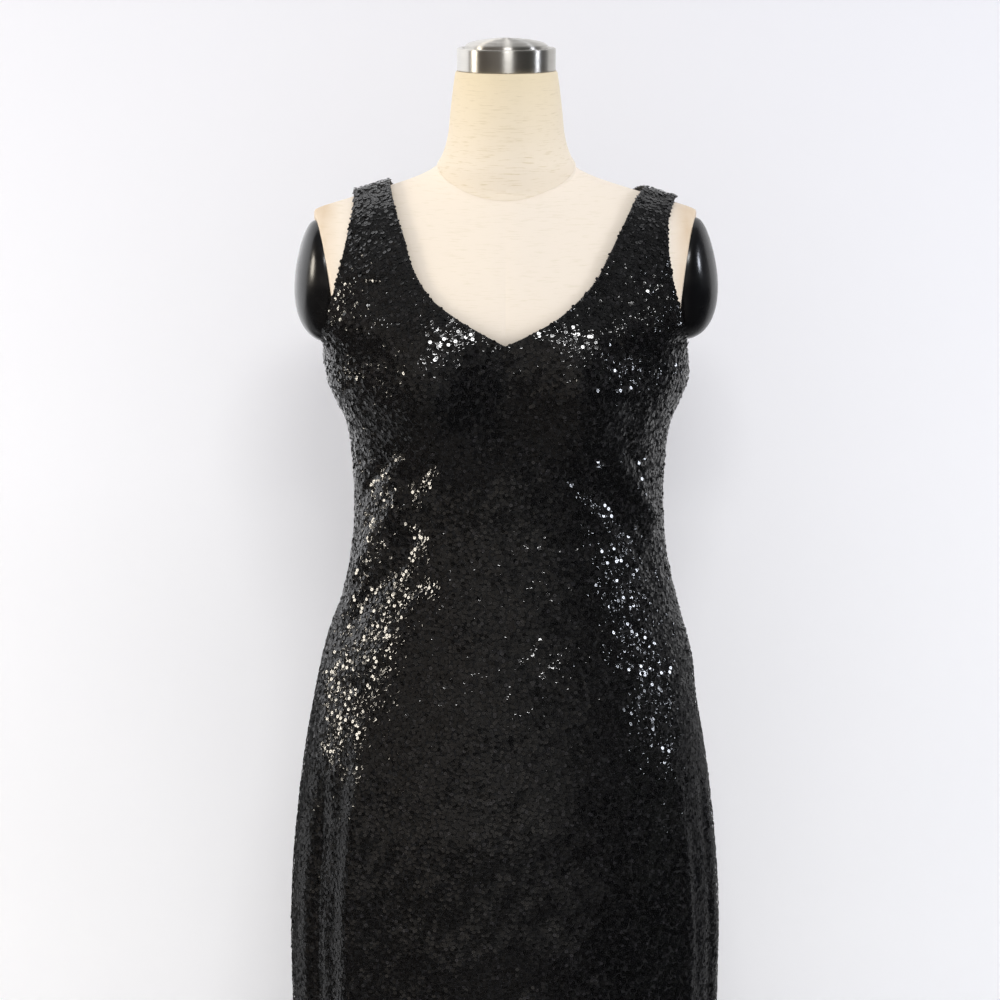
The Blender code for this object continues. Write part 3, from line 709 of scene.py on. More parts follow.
@dataclass(frozen=True)
class CreamLinen:
    """Unbleached linen, woven and stretched over padding: matt, with thick slubs along the weft.

    It is darker and yellower towards the neck's top. Beside the arm ends it is warmer and darker: partly
    a warmer tone, partly painted shade where the linen rounds in beside the caps.
    """

    name: str
    low_colour: str
    high_colour: str
    slub: str
    # beside the arm ends: a warmer tone, with painted shade where the linen rounds in beside the caps
    tan: str = "#D9C09F"
    low_height: float = 1.475
    high_height: float = 1.560
    end_tone_shade_from: float = 0.160  # distance out
    end_tone_shade_full: float = 0.177
    thread_mm: float = 1.1  # real threads are 0.5 mm apart, too fine to show
    slub_length_mm: float = 14.0
    slub_levels: tuple[float, float] = (0.56, 0.74)  # of the noise, where a slub starts and is full
    weave_share: float = 0.45  # of a slub's height
    blotch_mm: float = 41.67
    blotch_levels: tuple[float, float] = (0.3, 0.7)
    least_blotch: float = 0.45
    relief_mm: float = 0.4
    relief_strength: float = 0.25
    roughness: float = 0.88
    sheen: float = 0.12

    def material(self) -> bpy.types.Material:
        """Builds the material.

        Returns:
            The material, whose weft runs level round the form.
        """
        material, tree, shader = new_material(self.name)
        place = add_node(tree, "ShaderNodeTexCoord")
        parts = add_node(tree, "ShaderNodeSeparateXYZ", {0: place.outputs["Object"]})
        fine, long = 1 / (self.thread_mm * MM), 1 / (self.slub_length_mm * MM)
        weft = add_node(
            tree,
            "ShaderNodeMapping",
            {"Vector": place.outputs["Object"], "Scale": (long, long, fine)},
        )
        warp = add_node(
            tree,
            "ShaderNodeMapping",
            {"Vector": place.outputs["Object"], "Scale": (fine, fine, long)},
        )
        slubs = add_node(
            tree, "ShaderNodeTexNoise", {"Vector": weft.outputs[0], "Scale": 1.0, "Detail": 3.0}
        )
        threads = add_node(
            tree, "ShaderNodeTexNoise", {"Vector": warp.outputs[0], "Scale": 1.0, "Detail": 2.0}
        )
        patches = add_node(
            tree,
            "ShaderNodeTexNoise",
            {"Vector": place.outputs["Object"], "Scale": 1 / (self.blotch_mm * MM), "Detail": 3.0},
        )
        start, full = self.slub_levels
        thick = add_node(tree, "ShaderNodeMapRange", {0: slubs.outputs["Fac"], 1: start, 2: full})
        weave = add_node(
            tree,
            "ShaderNodeMath",
            {0: threads.outputs["Fac"], 1: self.weave_share},
            operation="MULTIPLY",
        )
        rise = add_node(
            tree, "ShaderNodeMapRange", {0: parts.outputs[2], 1: self.low_height, 2: self.high_height}
        )
        plain = add_node(
            tree,
            "ShaderNodeMix",
            {0: rise.outputs[0], 6: linear(self.low_colour), 7: linear(self.high_colour)},
            data_type="RGBA",
        )
        woven = add_node(
            tree,
            "ShaderNodeMix",
            {0: thick.outputs[0], 6: plain.outputs[2], 7: linear(self.slub)},
            data_type="RGBA",
        )
        # the warmer, darker linen beside the arm ends, partly painted shade, laid on in blotches
        out = add_node(tree, "ShaderNodeMath", {0: parts.outputs[0]}, operation="ABSOLUTE")
        near_end = add_node(
            tree, "ShaderNodeMapRange", {0: out.outputs[0], 1: self.end_tone_shade_from, 2: self.end_tone_shade_full}
        )
        start, full = self.blotch_levels
        blotch = add_node(
            tree,
            "ShaderNodeMapRange",
            {0: patches.outputs["Fac"], 1: start, 2: full, 3: self.least_blotch, 4: 1.0},
        )
        end_tone_shade_share = add_node(
            tree, "ShaderNodeMath", {0: near_end.outputs[0], 1: blotch.outputs[0]}, operation="MULTIPLY"
        )
        colour = add_node(
            tree,
            "ShaderNodeMix",
            {0: end_tone_shade_share.outputs[0], 6: woven.outputs[2], 7: linear(self.tan)},
            data_type="RGBA",
        )
        height = add_node(
            tree, "ShaderNodeMath", {0: thick.outputs[0], 1: weave.outputs[0]}, operation="ADD"
        )
        bump = add_node(
            tree,
            "ShaderNodeBump",
            {
                "Height": height.outputs[0],
                "Strength": self.relief_strength,
                "Distance": self.relief_mm * MM,
            },
        )
        tree.links.new(colour.outputs[2], shader.inputs["Base Color"])
        tree.links.new(bump.outputs[0], shader.inputs["Normal"])
        shader.inputs["Roughness"].default_value = self.roughness
        shader.inputs["Sheen Weight"].default_value = self.sheen
        return material


@dataclass(frozen=True)
class TurnedSteel:
    """Stainless steel, turned on a lathe: fine rings, which draw every reflection out up and down."""

    name: str = "turned_stainless_steel"
    colour: str = "#CFCCC6"
    ring_mm: float = 0.5  # real rings are 0.1 mm apart, too fine to show
    streak_mm: float = 125.0
    relief_mm: float = 0.2
    relief_strength: float = 0.08
    roughness: float = 0.38
    cut_levels: tuple[float, float] = (0.3, 0.7)  # of the noise, at the least and most roughness
    roughness_shares: tuple[float, float] = (0.8, 1.3)
    anisotropy: float = 1.0
    turn: float = 0.25  # a quarter, so that the streaks run up and down

    def material(self) -> bpy.types.Material:
        """Builds the material.

        Returns:
            The material.
        """
        material, tree, shader = new_material(self.name)
        place = add_node(tree, "ShaderNodeTexCoord")
        long, fine = 1 / (self.streak_mm * MM), 1 / (self.ring_mm * MM)
        rings = add_node(
            tree, "ShaderNodeMapping", {"Vector": place.outputs["Object"], "Scale": (long, long, fine)}
        )
        cuts = add_node(
            tree, "ShaderNodeTexNoise", {"Vector": rings.outputs[0], "Scale": 1.0, "Detail": 3.0}
        )
        start, full = self.cut_levels
        least, most = (self.roughness * share for share in self.roughness_shares)
        roughness = add_node(
            tree, "ShaderNodeMapRange", {0: cuts.outputs["Fac"], 1: start, 2: full, 3: least, 4: most}
        )
        bump = add_node(
            tree,
            "ShaderNodeBump",
            {
                "Height": cuts.outputs["Fac"],
                "Strength": self.relief_strength,
                "Distance": self.relief_mm * MM,
            },
        )
        along = add_node(tree, "ShaderNodeTangent", direction_type="RADIAL", axis="Z")
        shader.inputs["Base Color"].default_value = linear(self.colour)
        shader.inputs["Metallic"].default_value = 1.0
        shader.inputs["Anisotropic"].default_value = self.anisotropy
        shader.inputs["Anisotropic Rotation"].default_value = self.turn
        tree.links.new(roughness.outputs[0], shader.inputs["Roughness"])
        tree.links.new(bump.outputs[0], shader.inputs["Normal"])
        tree.links.new(along.outputs[0], shader.inputs["Tangent"])
        return material


@dataclass(frozen=True)
class SmoothCoat:
    """A smooth black surface: moulded and polished plastic, or sprayed paint with a slight peel."""

    name: str
    colour: str
    roughness: float
    ior: float
    peel_mm: float
    peel_strength: float
    peel_depth_mm: float = 0.3
    dust_mm: float = 16.67
    dust_levels: tuple[float, float] = (0.35, 0.75)
    dust_share: float = 1.6  # of the roughness, where the dust lies

    def material(self) -> bpy.types.Material:
        """Builds the material.

        Returns:
            The material.
        """
        material, tree, shader = new_material(self.name)
        place = add_node(tree, "ShaderNodeTexCoord")
        peel = add_node(
            tree,
            "ShaderNodeTexNoise",
            {"Vector": place.outputs["Object"], "Scale": 1 / (self.peel_mm * MM), "Detail": 1.0},
        )
        dust = add_node(
            tree,
            "ShaderNodeTexNoise",
            {"Vector": place.outputs["Object"], "Scale": 1 / (self.dust_mm * MM), "Detail": 4.0},
        )
        (start, full), dusty = self.dust_levels, self.roughness * self.dust_share
        roughness = add_node(
            tree,
            "ShaderNodeMapRange",
            {0: dust.outputs["Fac"], 1: start, 2: full, 3: self.roughness, 4: dusty},
        )
        bump = add_node(
            tree,
            "ShaderNodeBump",
            {
                "Height": peel.outputs["Fac"],
                "Strength": self.peel_strength,
                "Distance": self.peel_depth_mm * MM,
            },
        )
        shader.inputs["Base Color"].default_value = linear(self.colour)
        shader.inputs["IOR"].default_value = self.ior
        tree.links.new(roughness.outputs[0], shader.inputs["Roughness"])
        tree.links.new(bump.outputs[0], shader.inputs["Normal"])
        return material


@dataclass(frozen=True)
class PaleWall:
    """A matt pale studio wall or floor, paler at its foot: painted light that makes up for the lamps'
    weaker light there. From behind, the wall isn't there.
    """

    name: str
    low_colour: str
    high_colour: str
    one_sided: bool
    low_height: float = 0.55
    high_height: float = 1.75
    roughness: float = 0.95
    glow: float = 0.10  # the light that the rest of the studio adds
    glow_colour: str = "#F6F6FC"

    def material(self) -> bpy.types.Material:
        """Builds the material.

        Returns:
            The material.
        """
        material, tree, shader = new_material(self.name)
        shader.inputs["Emission Color"].default_value = linear(self.glow_colour)
        shader.inputs["Emission Strength"].default_value = self.glow
        place = add_node(tree, "ShaderNodeTexCoord")
        parts = add_node(tree, "ShaderNodeSeparateXYZ", {0: place.outputs["Object"]})
        rise = add_node(
            tree, "ShaderNodeMapRange", {0: parts.outputs[2], 1: self.low_height, 2: self.high_height}
        )
        colour = add_node(
            tree,
            "ShaderNodeMix",
            {0: rise.outputs[0], 6: linear(self.low_colour), 7: linear(self.high_colour)},
            data_type="RGBA",
        )
        tree.links.new(colour.outputs[2], shader.inputs["Base Color"])
        shader.inputs["Roughness"].default_value = self.roughness
        if self.one_sided:
            clear = add_node(tree, "ShaderNodeBsdfTransparent")
            side = add_node(tree, "ShaderNodeNewGeometry")
            mix = add_node(
                tree,
                "ShaderNodeMixShader",
                {0: side.outputs["Backfacing"], 1: shader.outputs[0], 2: clear.outputs[0]},
            )
            tree.links.new(mix.outputs[0], tree.nodes["Material Output"].inputs["Surface"])
        return material


@dataclass(frozen=True)
class LitBoard:
    """A lit white board that only gloss mirrors, dimmer at its foot, its right end and one low part."""

    name: str = "lit_white_board"
    colour: str = "#F4F4F6"
    brightness: float = 1.75
    foot_share: float = 0.25  # of its light
    foot_heights: tuple[float, float] = (0.84, 1.10)
    right_share: float = 0.52
    right_places: tuple[float, float] = (-0.5, 0.3)
    #    the dim part low on the left, which darkens the dress's left edge
    dim_share: float = 0.12
    dim_from: tuple[float, float] = (-0.66, -0.50)
    dim_to: tuple[float, float] = (-0.12, 0.0)

    def material(self) -> bpy.types.Material:
        """Builds the material.

        Returns:
            The material.
        """
        material, tree, shader = new_material(self.name)
        place = add_node(tree, "ShaderNodeTexCoord")
        parts = add_node(tree, "ShaderNodeSeparateXYZ", {0: place.outputs["Object"]})
        (foot, head), (left, right) = self.foot_heights, self.right_places
        #    axis  from  to  value before  value past
        ramps = [
            (2, foot, head, self.foot_share, 1.0),
            (0, left, right, 1.0, self.right_share),
            (0, *self.dim_from, 1.0, self.dim_share),
            (0, *self.dim_to, 0.0, 1.0),
            (2, foot, head, 0.0, 1.0),
        ]
        rise, across, dim, past, above = (
            add_node(
                tree,
                "ShaderNodeMapRange",
                {0: parts.outputs[axis], 1: start, 2: end, 3: before, 4: after},
            ).outputs[0]
            for axis, start, end, before, after in ramps
        )
        for other in (past, above):
            dim = add_node(tree, "ShaderNodeMath", {0: dim, 1: other}, operation="MAXIMUM").outputs[0]
        light = add_node(tree, "ShaderNodeMath", {0: rise, 1: across}, operation="MULTIPLY").outputs[0]
        light = add_node(tree, "ShaderNodeMath", {0: light, 1: dim}, operation="MULTIPLY").outputs[0]
        light = add_node(tree, "ShaderNodeMath", {0: light, 1: self.brightness}, operation="MULTIPLY")
        glow = add_node(
            tree, "ShaderNodeEmission", {"Color": linear(self.colour), "Strength": light.outputs[0]}
        )
        tree.nodes.remove(shader)
        tree.links.new(glow.outputs[0], tree.nodes["Material Output"].inputs["Surface"])
        return material


# ---------------------------------------------------------------- the rounded bodies


@dataclass
class RoundedBody:
    """A rounded body whose level sections a table gives, with shoulders, a bust and maybe folds.

    A place on it is an angle from the middle of the front or back (+90 degrees at +X) and a way, which
    is the distance up the front's outline from the table's first row.
    """

    sections: Rows
    bust_rise: float
    folds: Rows = ()
    table: Array = field(init=False)

    def __post_init__(self) -> None:
        """Adds the column of ways to the table."""
        rows = np.array(self.sections, float)
        steps = np.hypot(np.diff(rows[:, 0]), np.diff(rows[:, 2]))
        self.table = np.column_stack([np.concatenate([[0], np.cumsum(steps)]), rows])

    @property
    def end(self) -> float:
        """The way of the shoulders' ridge."""
        return float(self.table[-1, 0])

    @staticmethod
    def ridge_fall(x: Array) -> Array:
        """How far the shoulders' ridge lies below its middle, at a distance x from it."""
        slope = SHOULDER_SLOPE * (np.sqrt(x**2 + SHOULDER_ROUND**2) - SHOULDER_ROUND)
        return slope + TIP_ROUND * np.maximum(np.abs(x) - TIP_FROM, 0) ** 2

    @staticmethod
    def bust(x: Array, z: Array) -> Array:
        """How far the bust rises over the plain section.

        Args:
            x: Distances from the middle of the front.
            z: Heights.

        Returns:
            The rise, as a share of its most.
        """
        spread = np.where(z > BUST_Z, BUST_SPREAD_UP, BUST_SPREAD_DOWN)
        side = np.exp(-(((np.abs(x) - BUST_X) / BUST_SPREAD_X) ** 2))
        return side * np.exp(-(((z - BUST_Z) / spread) ** 2))

    def fold_relief(self, turn: Array, z: Array) -> Array:
        """How far the folds move the cloth out.

        Args:
            turn: Angles all round, from the front's middle.
            z: Heights.

        Returns:
            The rise of all folds together.
        """
        rise = np.zeros(np.broadcast(turn, z).shape)
        for from_deg, from_z, to_deg, to_z, half_width, height in self.folds:
            run_u, run_z = math.radians(to_deg - from_deg) * FOLD_RADIUS, to_z - from_z
            length = math.hypot(run_u, run_z)
            off = (np.degrees(turn) - from_deg + 180) % 360 - 180
            u, v = np.radians(off) * FOLD_RADIUS, z - from_z
            along = (u * run_u + v * run_z) / length**2
            across = (u * run_z - v * run_u) / length
            fade = ease_in(along, 0.0, FOLD_FADE)
            if to_z > HEM_HEIGHT:
                fade = fade * ease_in(1 - along, 0.0, FOLD_FADE)
            rise = rise + height * fade * np.exp(-((across / half_width) ** 2))
        return rise

    def surface(self, angle: Array, way: Array, facing: Facing) -> Array:
        """Points on the outer face.

        Args:
            angle: Angles from the middle of the front or back.
            way: Ways up the body.
            facing: Front or back.

        Returns:
            The points, in a last axis of x, y and z.
        """
        height, half_width, front, back = np.moveaxis(read_table(self.table, way), -1, 0)
        power = 2 / SQUARENESS
        x = half_width * np.sign(angle) * np.abs(np.sin(angle)) ** power
        depth = back
        if facing is Facing.FRONT:
            depth = front + self.bust_rise * self.bust(x, height)
        out = depth * np.clip(np.cos(angle), 0, 1) ** power
        sloping = ease_in(height, SLOPE_FROM, SLOPE_FULL)
        from_neck = np.hypot(x, out) - NECK_RADIUS
        flare = NECK_FLARE * np.exp(-np.maximum(from_neck, 0) / NECK_FLARE_REACH)
        z = height + sloping * (flare - self.ridge_fall(x))
        y = facing.value * out
        if self.folds:
            turn = angle if facing is Facing.FRONT else np.pi - angle
            rise = self.fold_relief(turn, z)
            x = x + rise * np.sin(angle)
            y = y + facing.value * rise * np.clip(np.cos(angle), 0, 1)
        return np.stack([x, y, z], -1)

    def normals(self, angle: Array, way: Array, facing: Facing) -> Array:
        """Unit normals that point out, at the places that surface takes.

        Args:
            angle: Angles from the middle of the front or back.
            way: Ways up the body.
            facing: Front or back.

        Returns:
            The normals, in a last axis of x, y and z.
        """
        step_a, step_w = NORMAL_STEPS
        inside = np.clip(angle, -math.pi / 2 + step_a, math.pi / 2 - step_a)
        low = np.clip(way, step_w, self.end - 2 * step_w)
        across = self.surface(inside + step_a, way, facing) - self.surface(inside - step_a, way, facing)
        up = self.surface(angle, low + step_w, facing) - self.surface(angle, low - step_w, facing)
        return unit(np.cross(across, up) * -facing.value)

    def place(self, x: float, z: float | None) -> tuple[float, float]:
        """Finds a point that is seen from the front.

        Args:
            x: Its distance from the middle.
            z: Its height, or None for a point on the shoulders' ridge.

        Returns:
            Its angle and its way.
        """
        low, high = 0.0, self.end
        way = self.end
        if z is not None:
            for _ in range(HALVINGS):
                way = (low + high) / 2
                height = read_table(self.table, way)[0]
                seen = height - ease_in(height, SLOPE_FROM, SLOPE_FULL) * self.ridge_fall(x)
                low, high = (way, high) if seen < z else (low, way)
        half_width = read_table(self.table, way)[1]
        share = min(abs(x) / half_width, 1.0)
        return math.copysign(math.asin(share ** (SQUARENESS / 2)), x), way


@dataclass
class PanelOutline:
    """The neckline and the armhole of one panel, as angles and ways on the dress's body."""

    body: RoundedBody
    facing: Facing
    edges: Rows

    def paths(self, side: Side, count: int) -> tuple[Array, Array]:
        """The neckline and the armhole on one side.

        Args:
            side: Left or right.
            count: How many places to give on each.

        Returns:
            Two arrays of angle and way, from the middle or the underarm up to the shoulder.
        """
        neck_x, arm_x = (0, 3) if side is Side.LEFT else (1, 4)
        neck = np.array([self.body.place(row[neck_x], row[2]) for row in self.edges])
        arm = np.array([self.body.place(row[arm_x], row[5]) for row in self.edges])
        arm[0] = side.value * math.pi / 2, self.body.place(0, UNDERARM_HEIGHT)[1]
        knots = np.linspace(0, 1, len(self.edges))[:, None]
        at = np.linspace(0, 1, count)
        return read_table(np.hstack([knots, neck]), at), read_table(np.hstack([knots, arm]), at)

    def spans(self, way: float, paths: dict[Side, tuple[Array, Array]]) -> list[tuple[float, float]]:
        """The stretches of angle that the panel covers at one way up.

        Args:
            way: The way.
            paths: What paths gives, by side.

        Returns:
            One or two stretches, from left to right.
        """
        limits = {}
        for side in Side:
            neck, arm = paths[side]
            inner = np.interp(way, neck[:, 1], neck[:, 0], left=0.0)
            outer = np.interp(way, arm[:, 1], arm[:, 0], left=side.value * math.pi / 2)
            limits[side] = inner, outer
        left, right = limits[Side.LEFT], limits[Side.RIGHT]
        if way < paths[Side.LEFT][0][0, 1]:
            return [(left[1], right[1])]
        return [(left[1], left[0]), (right[0], right[1])]


# ---------------------------------------------------------------- the dress


@dataclass
class KnitPanel:
    """One cut panel of the dress's black knit: a thin wall just inside the sequins."""

    outline: PanelOutline
    name: str
    depth: float = 0.0008  # of its outer face under the solid's outer face
    thickness: float = 0.0010
    skirt_rows: int = 100
    edge_rows: int = 48
    half_columns: int = 44

    def places(self, side: Side) -> Array:
        """The mesh points' places on half the panel.

        Args:
            side: Left or right.

        Returns:
            Angles and ways: rows from the hem up, columns from the middle out.
        """
        neck, arm = self.outline.paths(side, self.edge_rows + 1)
        below = np.linspace(0, 1, self.skirt_rows + 1)[:-1, None]
        middle = np.hstack([0 * below, below * neck[0, 1]])
        seam = np.hstack([0 * below + arm[0, 0], below * arm[0, 1]])
        across = np.linspace(0, 1, self.half_columns + 1)[None, :, None]
        inner = np.vstack([middle, neck])[:, None]
        outer = np.vstack([seam, arm])[:, None]
        return inner * (1 - across) + outer * across

    def build(self, material: bpy.types.Material) -> bpy.types.Object:
        """Builds the panel's mesh.

        Args:
            material: The knit.

        Returns:
            The panel.
        """
        body, facing = self.outline.body, self.outline.facing
        rows, columns = self.skirt_rows + self.edge_rows, self.half_columns
        points, normals, number = [], [], {}
        for side in Side:
            places = self.places(side)
            found = body.surface(places[..., 0], places[..., 1], facing)
            out = body.normals(places[..., 0], places[..., 1], facing)
            for row in range(rows + 1):
                for column in range(columns + 1):
                    if side is Side.RIGHT and column == 0 and row <= self.skirt_rows:
                        number[side, row, column] = number[Side.LEFT, row, column]
                        continue
                    point, normal = found[row, column].copy(), out[row, column].copy()
                    if column == columns and row <= self.skirt_rows or row == rows:
                        point[1] = facing.value * HALF_GAP
                        normal[1] = 0
                    number[side, row, column] = len(points)
                    points.append(point)
                    normals.append(normal)
        quads = []
        for side in Side:
            for row in range(rows):
                for column in range(columns):
                    corners = (row, column), (row, column + 1), (row + 1, column + 1), (row + 1, column)
                    quad = [number[side, r, c] for r, c in corners]
                    quads.append(quad if side.value * facing.value < 0 else quad[::-1])
        points, normals = np.array(points), unit(np.array(normals))
        outer, inner = points - self.depth * normals, points - (self.depth + self.thickness) * normals
        return mesh_object(self.name, *wall_faces(outer, quads, inner), material)


@dataclass
class SequinCover:
    """Overlapping flat sequins on a panel, sewn in offset rows, each lying a little differently."""

    outline: PanelOutline
    disc_radius: float = 0.0020
    radius_spread: float = 0.04
    across_pitch: float = 0.0034
    up_pitch: float = 0.0031
    jitter: float = 0.0009
    edge_margin: float = -0.0006  # the end discs reach past the cut edges
    lift: float = -0.0001
    lift_spread: float = 0.0011
    shingle_deg: float = 4.0  # a sequin's lower edge rests on the next, so it faces up a little
    lie_deg: float = 4.3
    side_lie_deg: float = 6.0  # added towards the sides, where the cloth bends
    skirt_calm: float = 0.5  # less of both where the skirt hangs straight
    calm_from: float = 1.00
    calm_full: float = 0.84
    loose_deg: float = 9.5
    loose_share: float = 0.10
    drift_deg: float = 2.7  # how far the lie changes from one patch to the next
    #    wavelength  share of the drift
    drift_waves: Rows = ((0.110, 0.6), (0.055, 0.7), (0.026, 0.7), (0.013, 0.5))
    waves_each: int = 3
    patches: Rows = ()  # as in FRONT_TURNS
    edge_points: int = 240
    row_points: int = 181
    end_gap: float = 0.0005  # that the discs' middles keep from the body's ends

    def centres(self, rng: np.random.Generator) -> tuple[Array, Array]:
        """Where the sequins are sewn.

        Args:
            rng: The source of chance.

        Returns:
            Their angles and ways.
        """
        body = self.outline.body
        paths = {side: self.outline.paths(side, self.edge_points) for side in Side}
        angles, ways = [], []
        rows = int((body.end - self.edge_margin) / self.up_pitch)
        for row in range(rows):
            way = self.edge_margin + (row + 0.5) * self.up_pitch
            for left, right in self.outline.spans(way, paths):
                fine = np.linspace(left, right, self.row_points)
                points = body.surface(fine, np.full_like(fine, way), self.outline.facing)
                steps = np.linalg.norm(np.diff(points, axis=0), axis=1)
                run = np.concatenate([[0], np.cumsum(steps)])
                length = run[-1] - 2 * self.edge_margin
                count = int(length / self.across_pitch)
                if count < 2:
                    continue
                offset = 0.25 + 0.5 * (row % 2)
                at = self.edge_margin + (np.arange(count) + offset) * length / count
                at = at + rng.normal(0, self.jitter, count)
                angles.append(np.interp(at, run, fine))
                ways.append(way + rng.normal(0, self.jitter, count))
        ways = np.clip(np.concatenate(ways), self.end_gap, body.end - self.end_gap)
        return np.concatenate(angles), ways

    def drift(self, angle: Array, z: Array, rng: np.random.Generator) -> Array:
        """How the lie changes from one patch of the cloth to the next.

        Args:
            angle: The sequins' angles.
            z: Their heights.
            rng: The source of chance.

        Returns:
            Each sequin's slopes towards +X and up.
        """
        u = angle * FOLD_RADIUS
        fields = np.zeros((2, len(u)))
        for wavelength, share in self.drift_waves:
            for part in range(2):
                for _ in range(self.waves_each):
                    turn, phase = rng.uniform(0, math.tau, 2)
                    wave = (u * math.cos(turn) + z * math.sin(turn)) * math.tau / wavelength
                    fields[part] += share * np.sin(wave + phase) / math.sqrt(self.waves_each)
        return fields.T * math.radians(self.drift_deg)

    def turns(self, angle: Array, z: Array) -> Array:
        """How the patches turn the sequins.

        Args:
            angle: The sequins' angles.
            z: Their heights.

        Returns:
            Each sequin's slopes towards +X and up.
        """
        slope = np.zeros((len(angle), 2))
        for at, height, half_width, half_height, across, up in self.patches:
            near = ((np.degrees(angle) - at) / half_width) ** 2 + ((z - height) / half_height) ** 2
            slope += np.exp(-near)[:, None] * np.radians([across, up])
        return slope

    def build(self, zones: tuple[Zone, ...], material: bpy.types.Material) -> list[bpy.types.Object]:
        """Builds the sequins as one joined mesh for each zone.

        Args:
            zones: Rows of a piece's name, the height that it reaches down to and a disc's corners,
                the highest first.
            material: The film.

        Returns:
            The pieces.
        """
        body, facing = self.outline.body, self.outline.facing
        rng = np.random.default_rng(SEED + facing.value)
        angle, way = self.centres(rng)
        count = len(angle)
        centre = body.surface(angle, way, facing)
        normal = body.normals(angle, way, facing)
        level = unit(np.cross(np.array([0.0, 0.0, 1.0]), normal))
        upward = np.cross(normal, level)
        loose = rng.random(count) < self.loose_share
        calm = 1 - self.skirt_calm * (1 - ease_in(centre[:, 2], self.calm_full, self.calm_from))
        lie = (self.lie_deg + self.side_lie_deg * np.sin(angle) ** 2) * calm
        spread = np.radians(np.where(loose, self.loose_deg * calm, lie))
        slope = rng.normal(0, 1, (count, 2)) * spread[:, None] + self.drift(angle, centre[:, 2], rng)
        slope += self.turns(angle, centre[:, 2])
        slope[:, 1] += math.radians(self.shingle_deg) * calm
        disc_normal = unit(normal + slope[:, :1] * level + slope[:, 1:] * upward)
        spin = rng.uniform(0, math.tau, count)
        first = unit(np.cross(upward, disc_normal))
        second = np.cross(disc_normal, first)
        lift = self.lift + self.lift_spread * rng.random(count)
        centre = centre + normal * lift[:, None]
        radius = self.disc_radius * rng.uniform(1 - self.radius_spread, 1 + self.radius_spread, count)
        tone = rng.random(count)
        pieces, ceiling = [], math.inf
        for name, floor, corners in zones:
            chosen = np.flatnonzero((centre[:, 2] >= floor) & (centre[:, 2] < ceiling))
            ceiling = floor
            turns = spin[chosen, None] + np.arange(corners) * math.tau / corners
            local = np.stack([np.cos(turns), np.sin(turns)], -1)
            reach = radius[chosen, None, None] * local
            points = (
                centre[chosen, None]
                + reach[..., :1] * first[chosen, None]
                + reach[..., 1:] * second[chosen, None]
            )
            pieces.append(self.joined(name, points, local, tone[chosen], material))
        return pieces

    @staticmethod
    def joined(
        name: str, points: Array, local: Array, tone: Array, material: bpy.types.Material
    ) -> bpy.types.Object:
        """Joins discs into one mesh, each with its own cell of the texture map.

        Args:
            name: The piece's name.
            points: The discs' corners, by disc and corner.
            local: The same corners from the disc's own middle, in radii.
            tone: A number from 0 to 1 for each disc.
            material: The film.

        Returns:
            The piece.
        """
        count, corners = points.shape[:2]
        total = count * corners
        mesh = bpy.data.meshes.new(name)
        mesh.vertices.add(total)
        mesh.vertices.foreach_set("co", points.reshape(-1).astype(np.float32))
        mesh.loops.add(total)
        mesh.loops.foreach_set("vertex_index", np.arange(total, dtype=np.int32))
        mesh.polygons.add(count)
        mesh.polygons.foreach_set("loop_start", np.arange(0, total, corners, dtype=np.int32))
        mesh.update(calc_edges=True)
        place = mesh.attributes.new("disc_place", "FLOAT_VECTOR", "POINT")
        values = np.concatenate([local, np.repeat(tone[:, None, None], corners, 1)], -1)
        place.data.foreach_set("vector", values.reshape(-1).astype(np.float32))
        cells = math.ceil(math.sqrt(count))
        column, row = np.arange(count) % cells, np.arange(count) // cells
        middle = (np.stack([column, row], -1)[:, None] + 0.5) / cells
        layer = mesh.uv_layers.new(name="OFBake")
        spots = middle + local * DISC_CELL_SHARE / cells
        layer.data.foreach_set("uv", spots.reshape(-1).astype(np.float32))
        mesh.materials.append(material)
        piece = bpy.data.objects.new(name, mesh)
        bpy.context.scene.collection.objects.link(piece)
        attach(piece, ROOT_BODY)
        return piece


@dataclass
class EdgeBinding:
    """The narrow turned edge of the neckline or an armhole, with the knit showing."""

    radius: float = 0.0009
    facets: int = 8
    sunk: float = 0.0009
    least_step: float = 0.0004

    def build(self, name: str, stretches: list, material: bpy.types.Material) -> bpy.types.Object:
        """Sweeps a closed binding.

        Args:
            name: The piece's name.
            stretches: Pairs of a path's points and their normals, end to end round the opening.
            material: The knit.

        Returns:
            The piece.
        """
        points = np.vstack([p for p, _ in stretches])
        normals = np.vstack([n for _, n in stretches])
        apart = np.linalg.norm(points - np.roll(points, 1, axis=0), axis=1) > self.least_step
        points, normals = points[apart], normals[apart]
        along = unit(np.roll(points, -1, axis=0) - np.roll(points, 1, axis=0))
        aside = unit(np.cross(along, normals))
        up = np.cross(aside, along)
        turns = np.arange(self.facets) * math.tau / self.facets
        middle = points - self.sunk * normals
        rings = (
            middle[:, None]
            + self.radius * np.cos(turns)[None, :, None] * aside[:, None]
            + self.radius * np.sin(turns)[None, :, None] * up[:, None]
        )
        count, faces = len(points), []
        for i in range(count):
            for k in range(self.facets):
                a, b = i * self.facets, (i + 1) % count * self.facets
                m = (k + 1) % self.facets
                faces.append((a + k, b + k, b + m, a + m))
        return mesh_object(name, rings.reshape(-1, 3), faces, material)


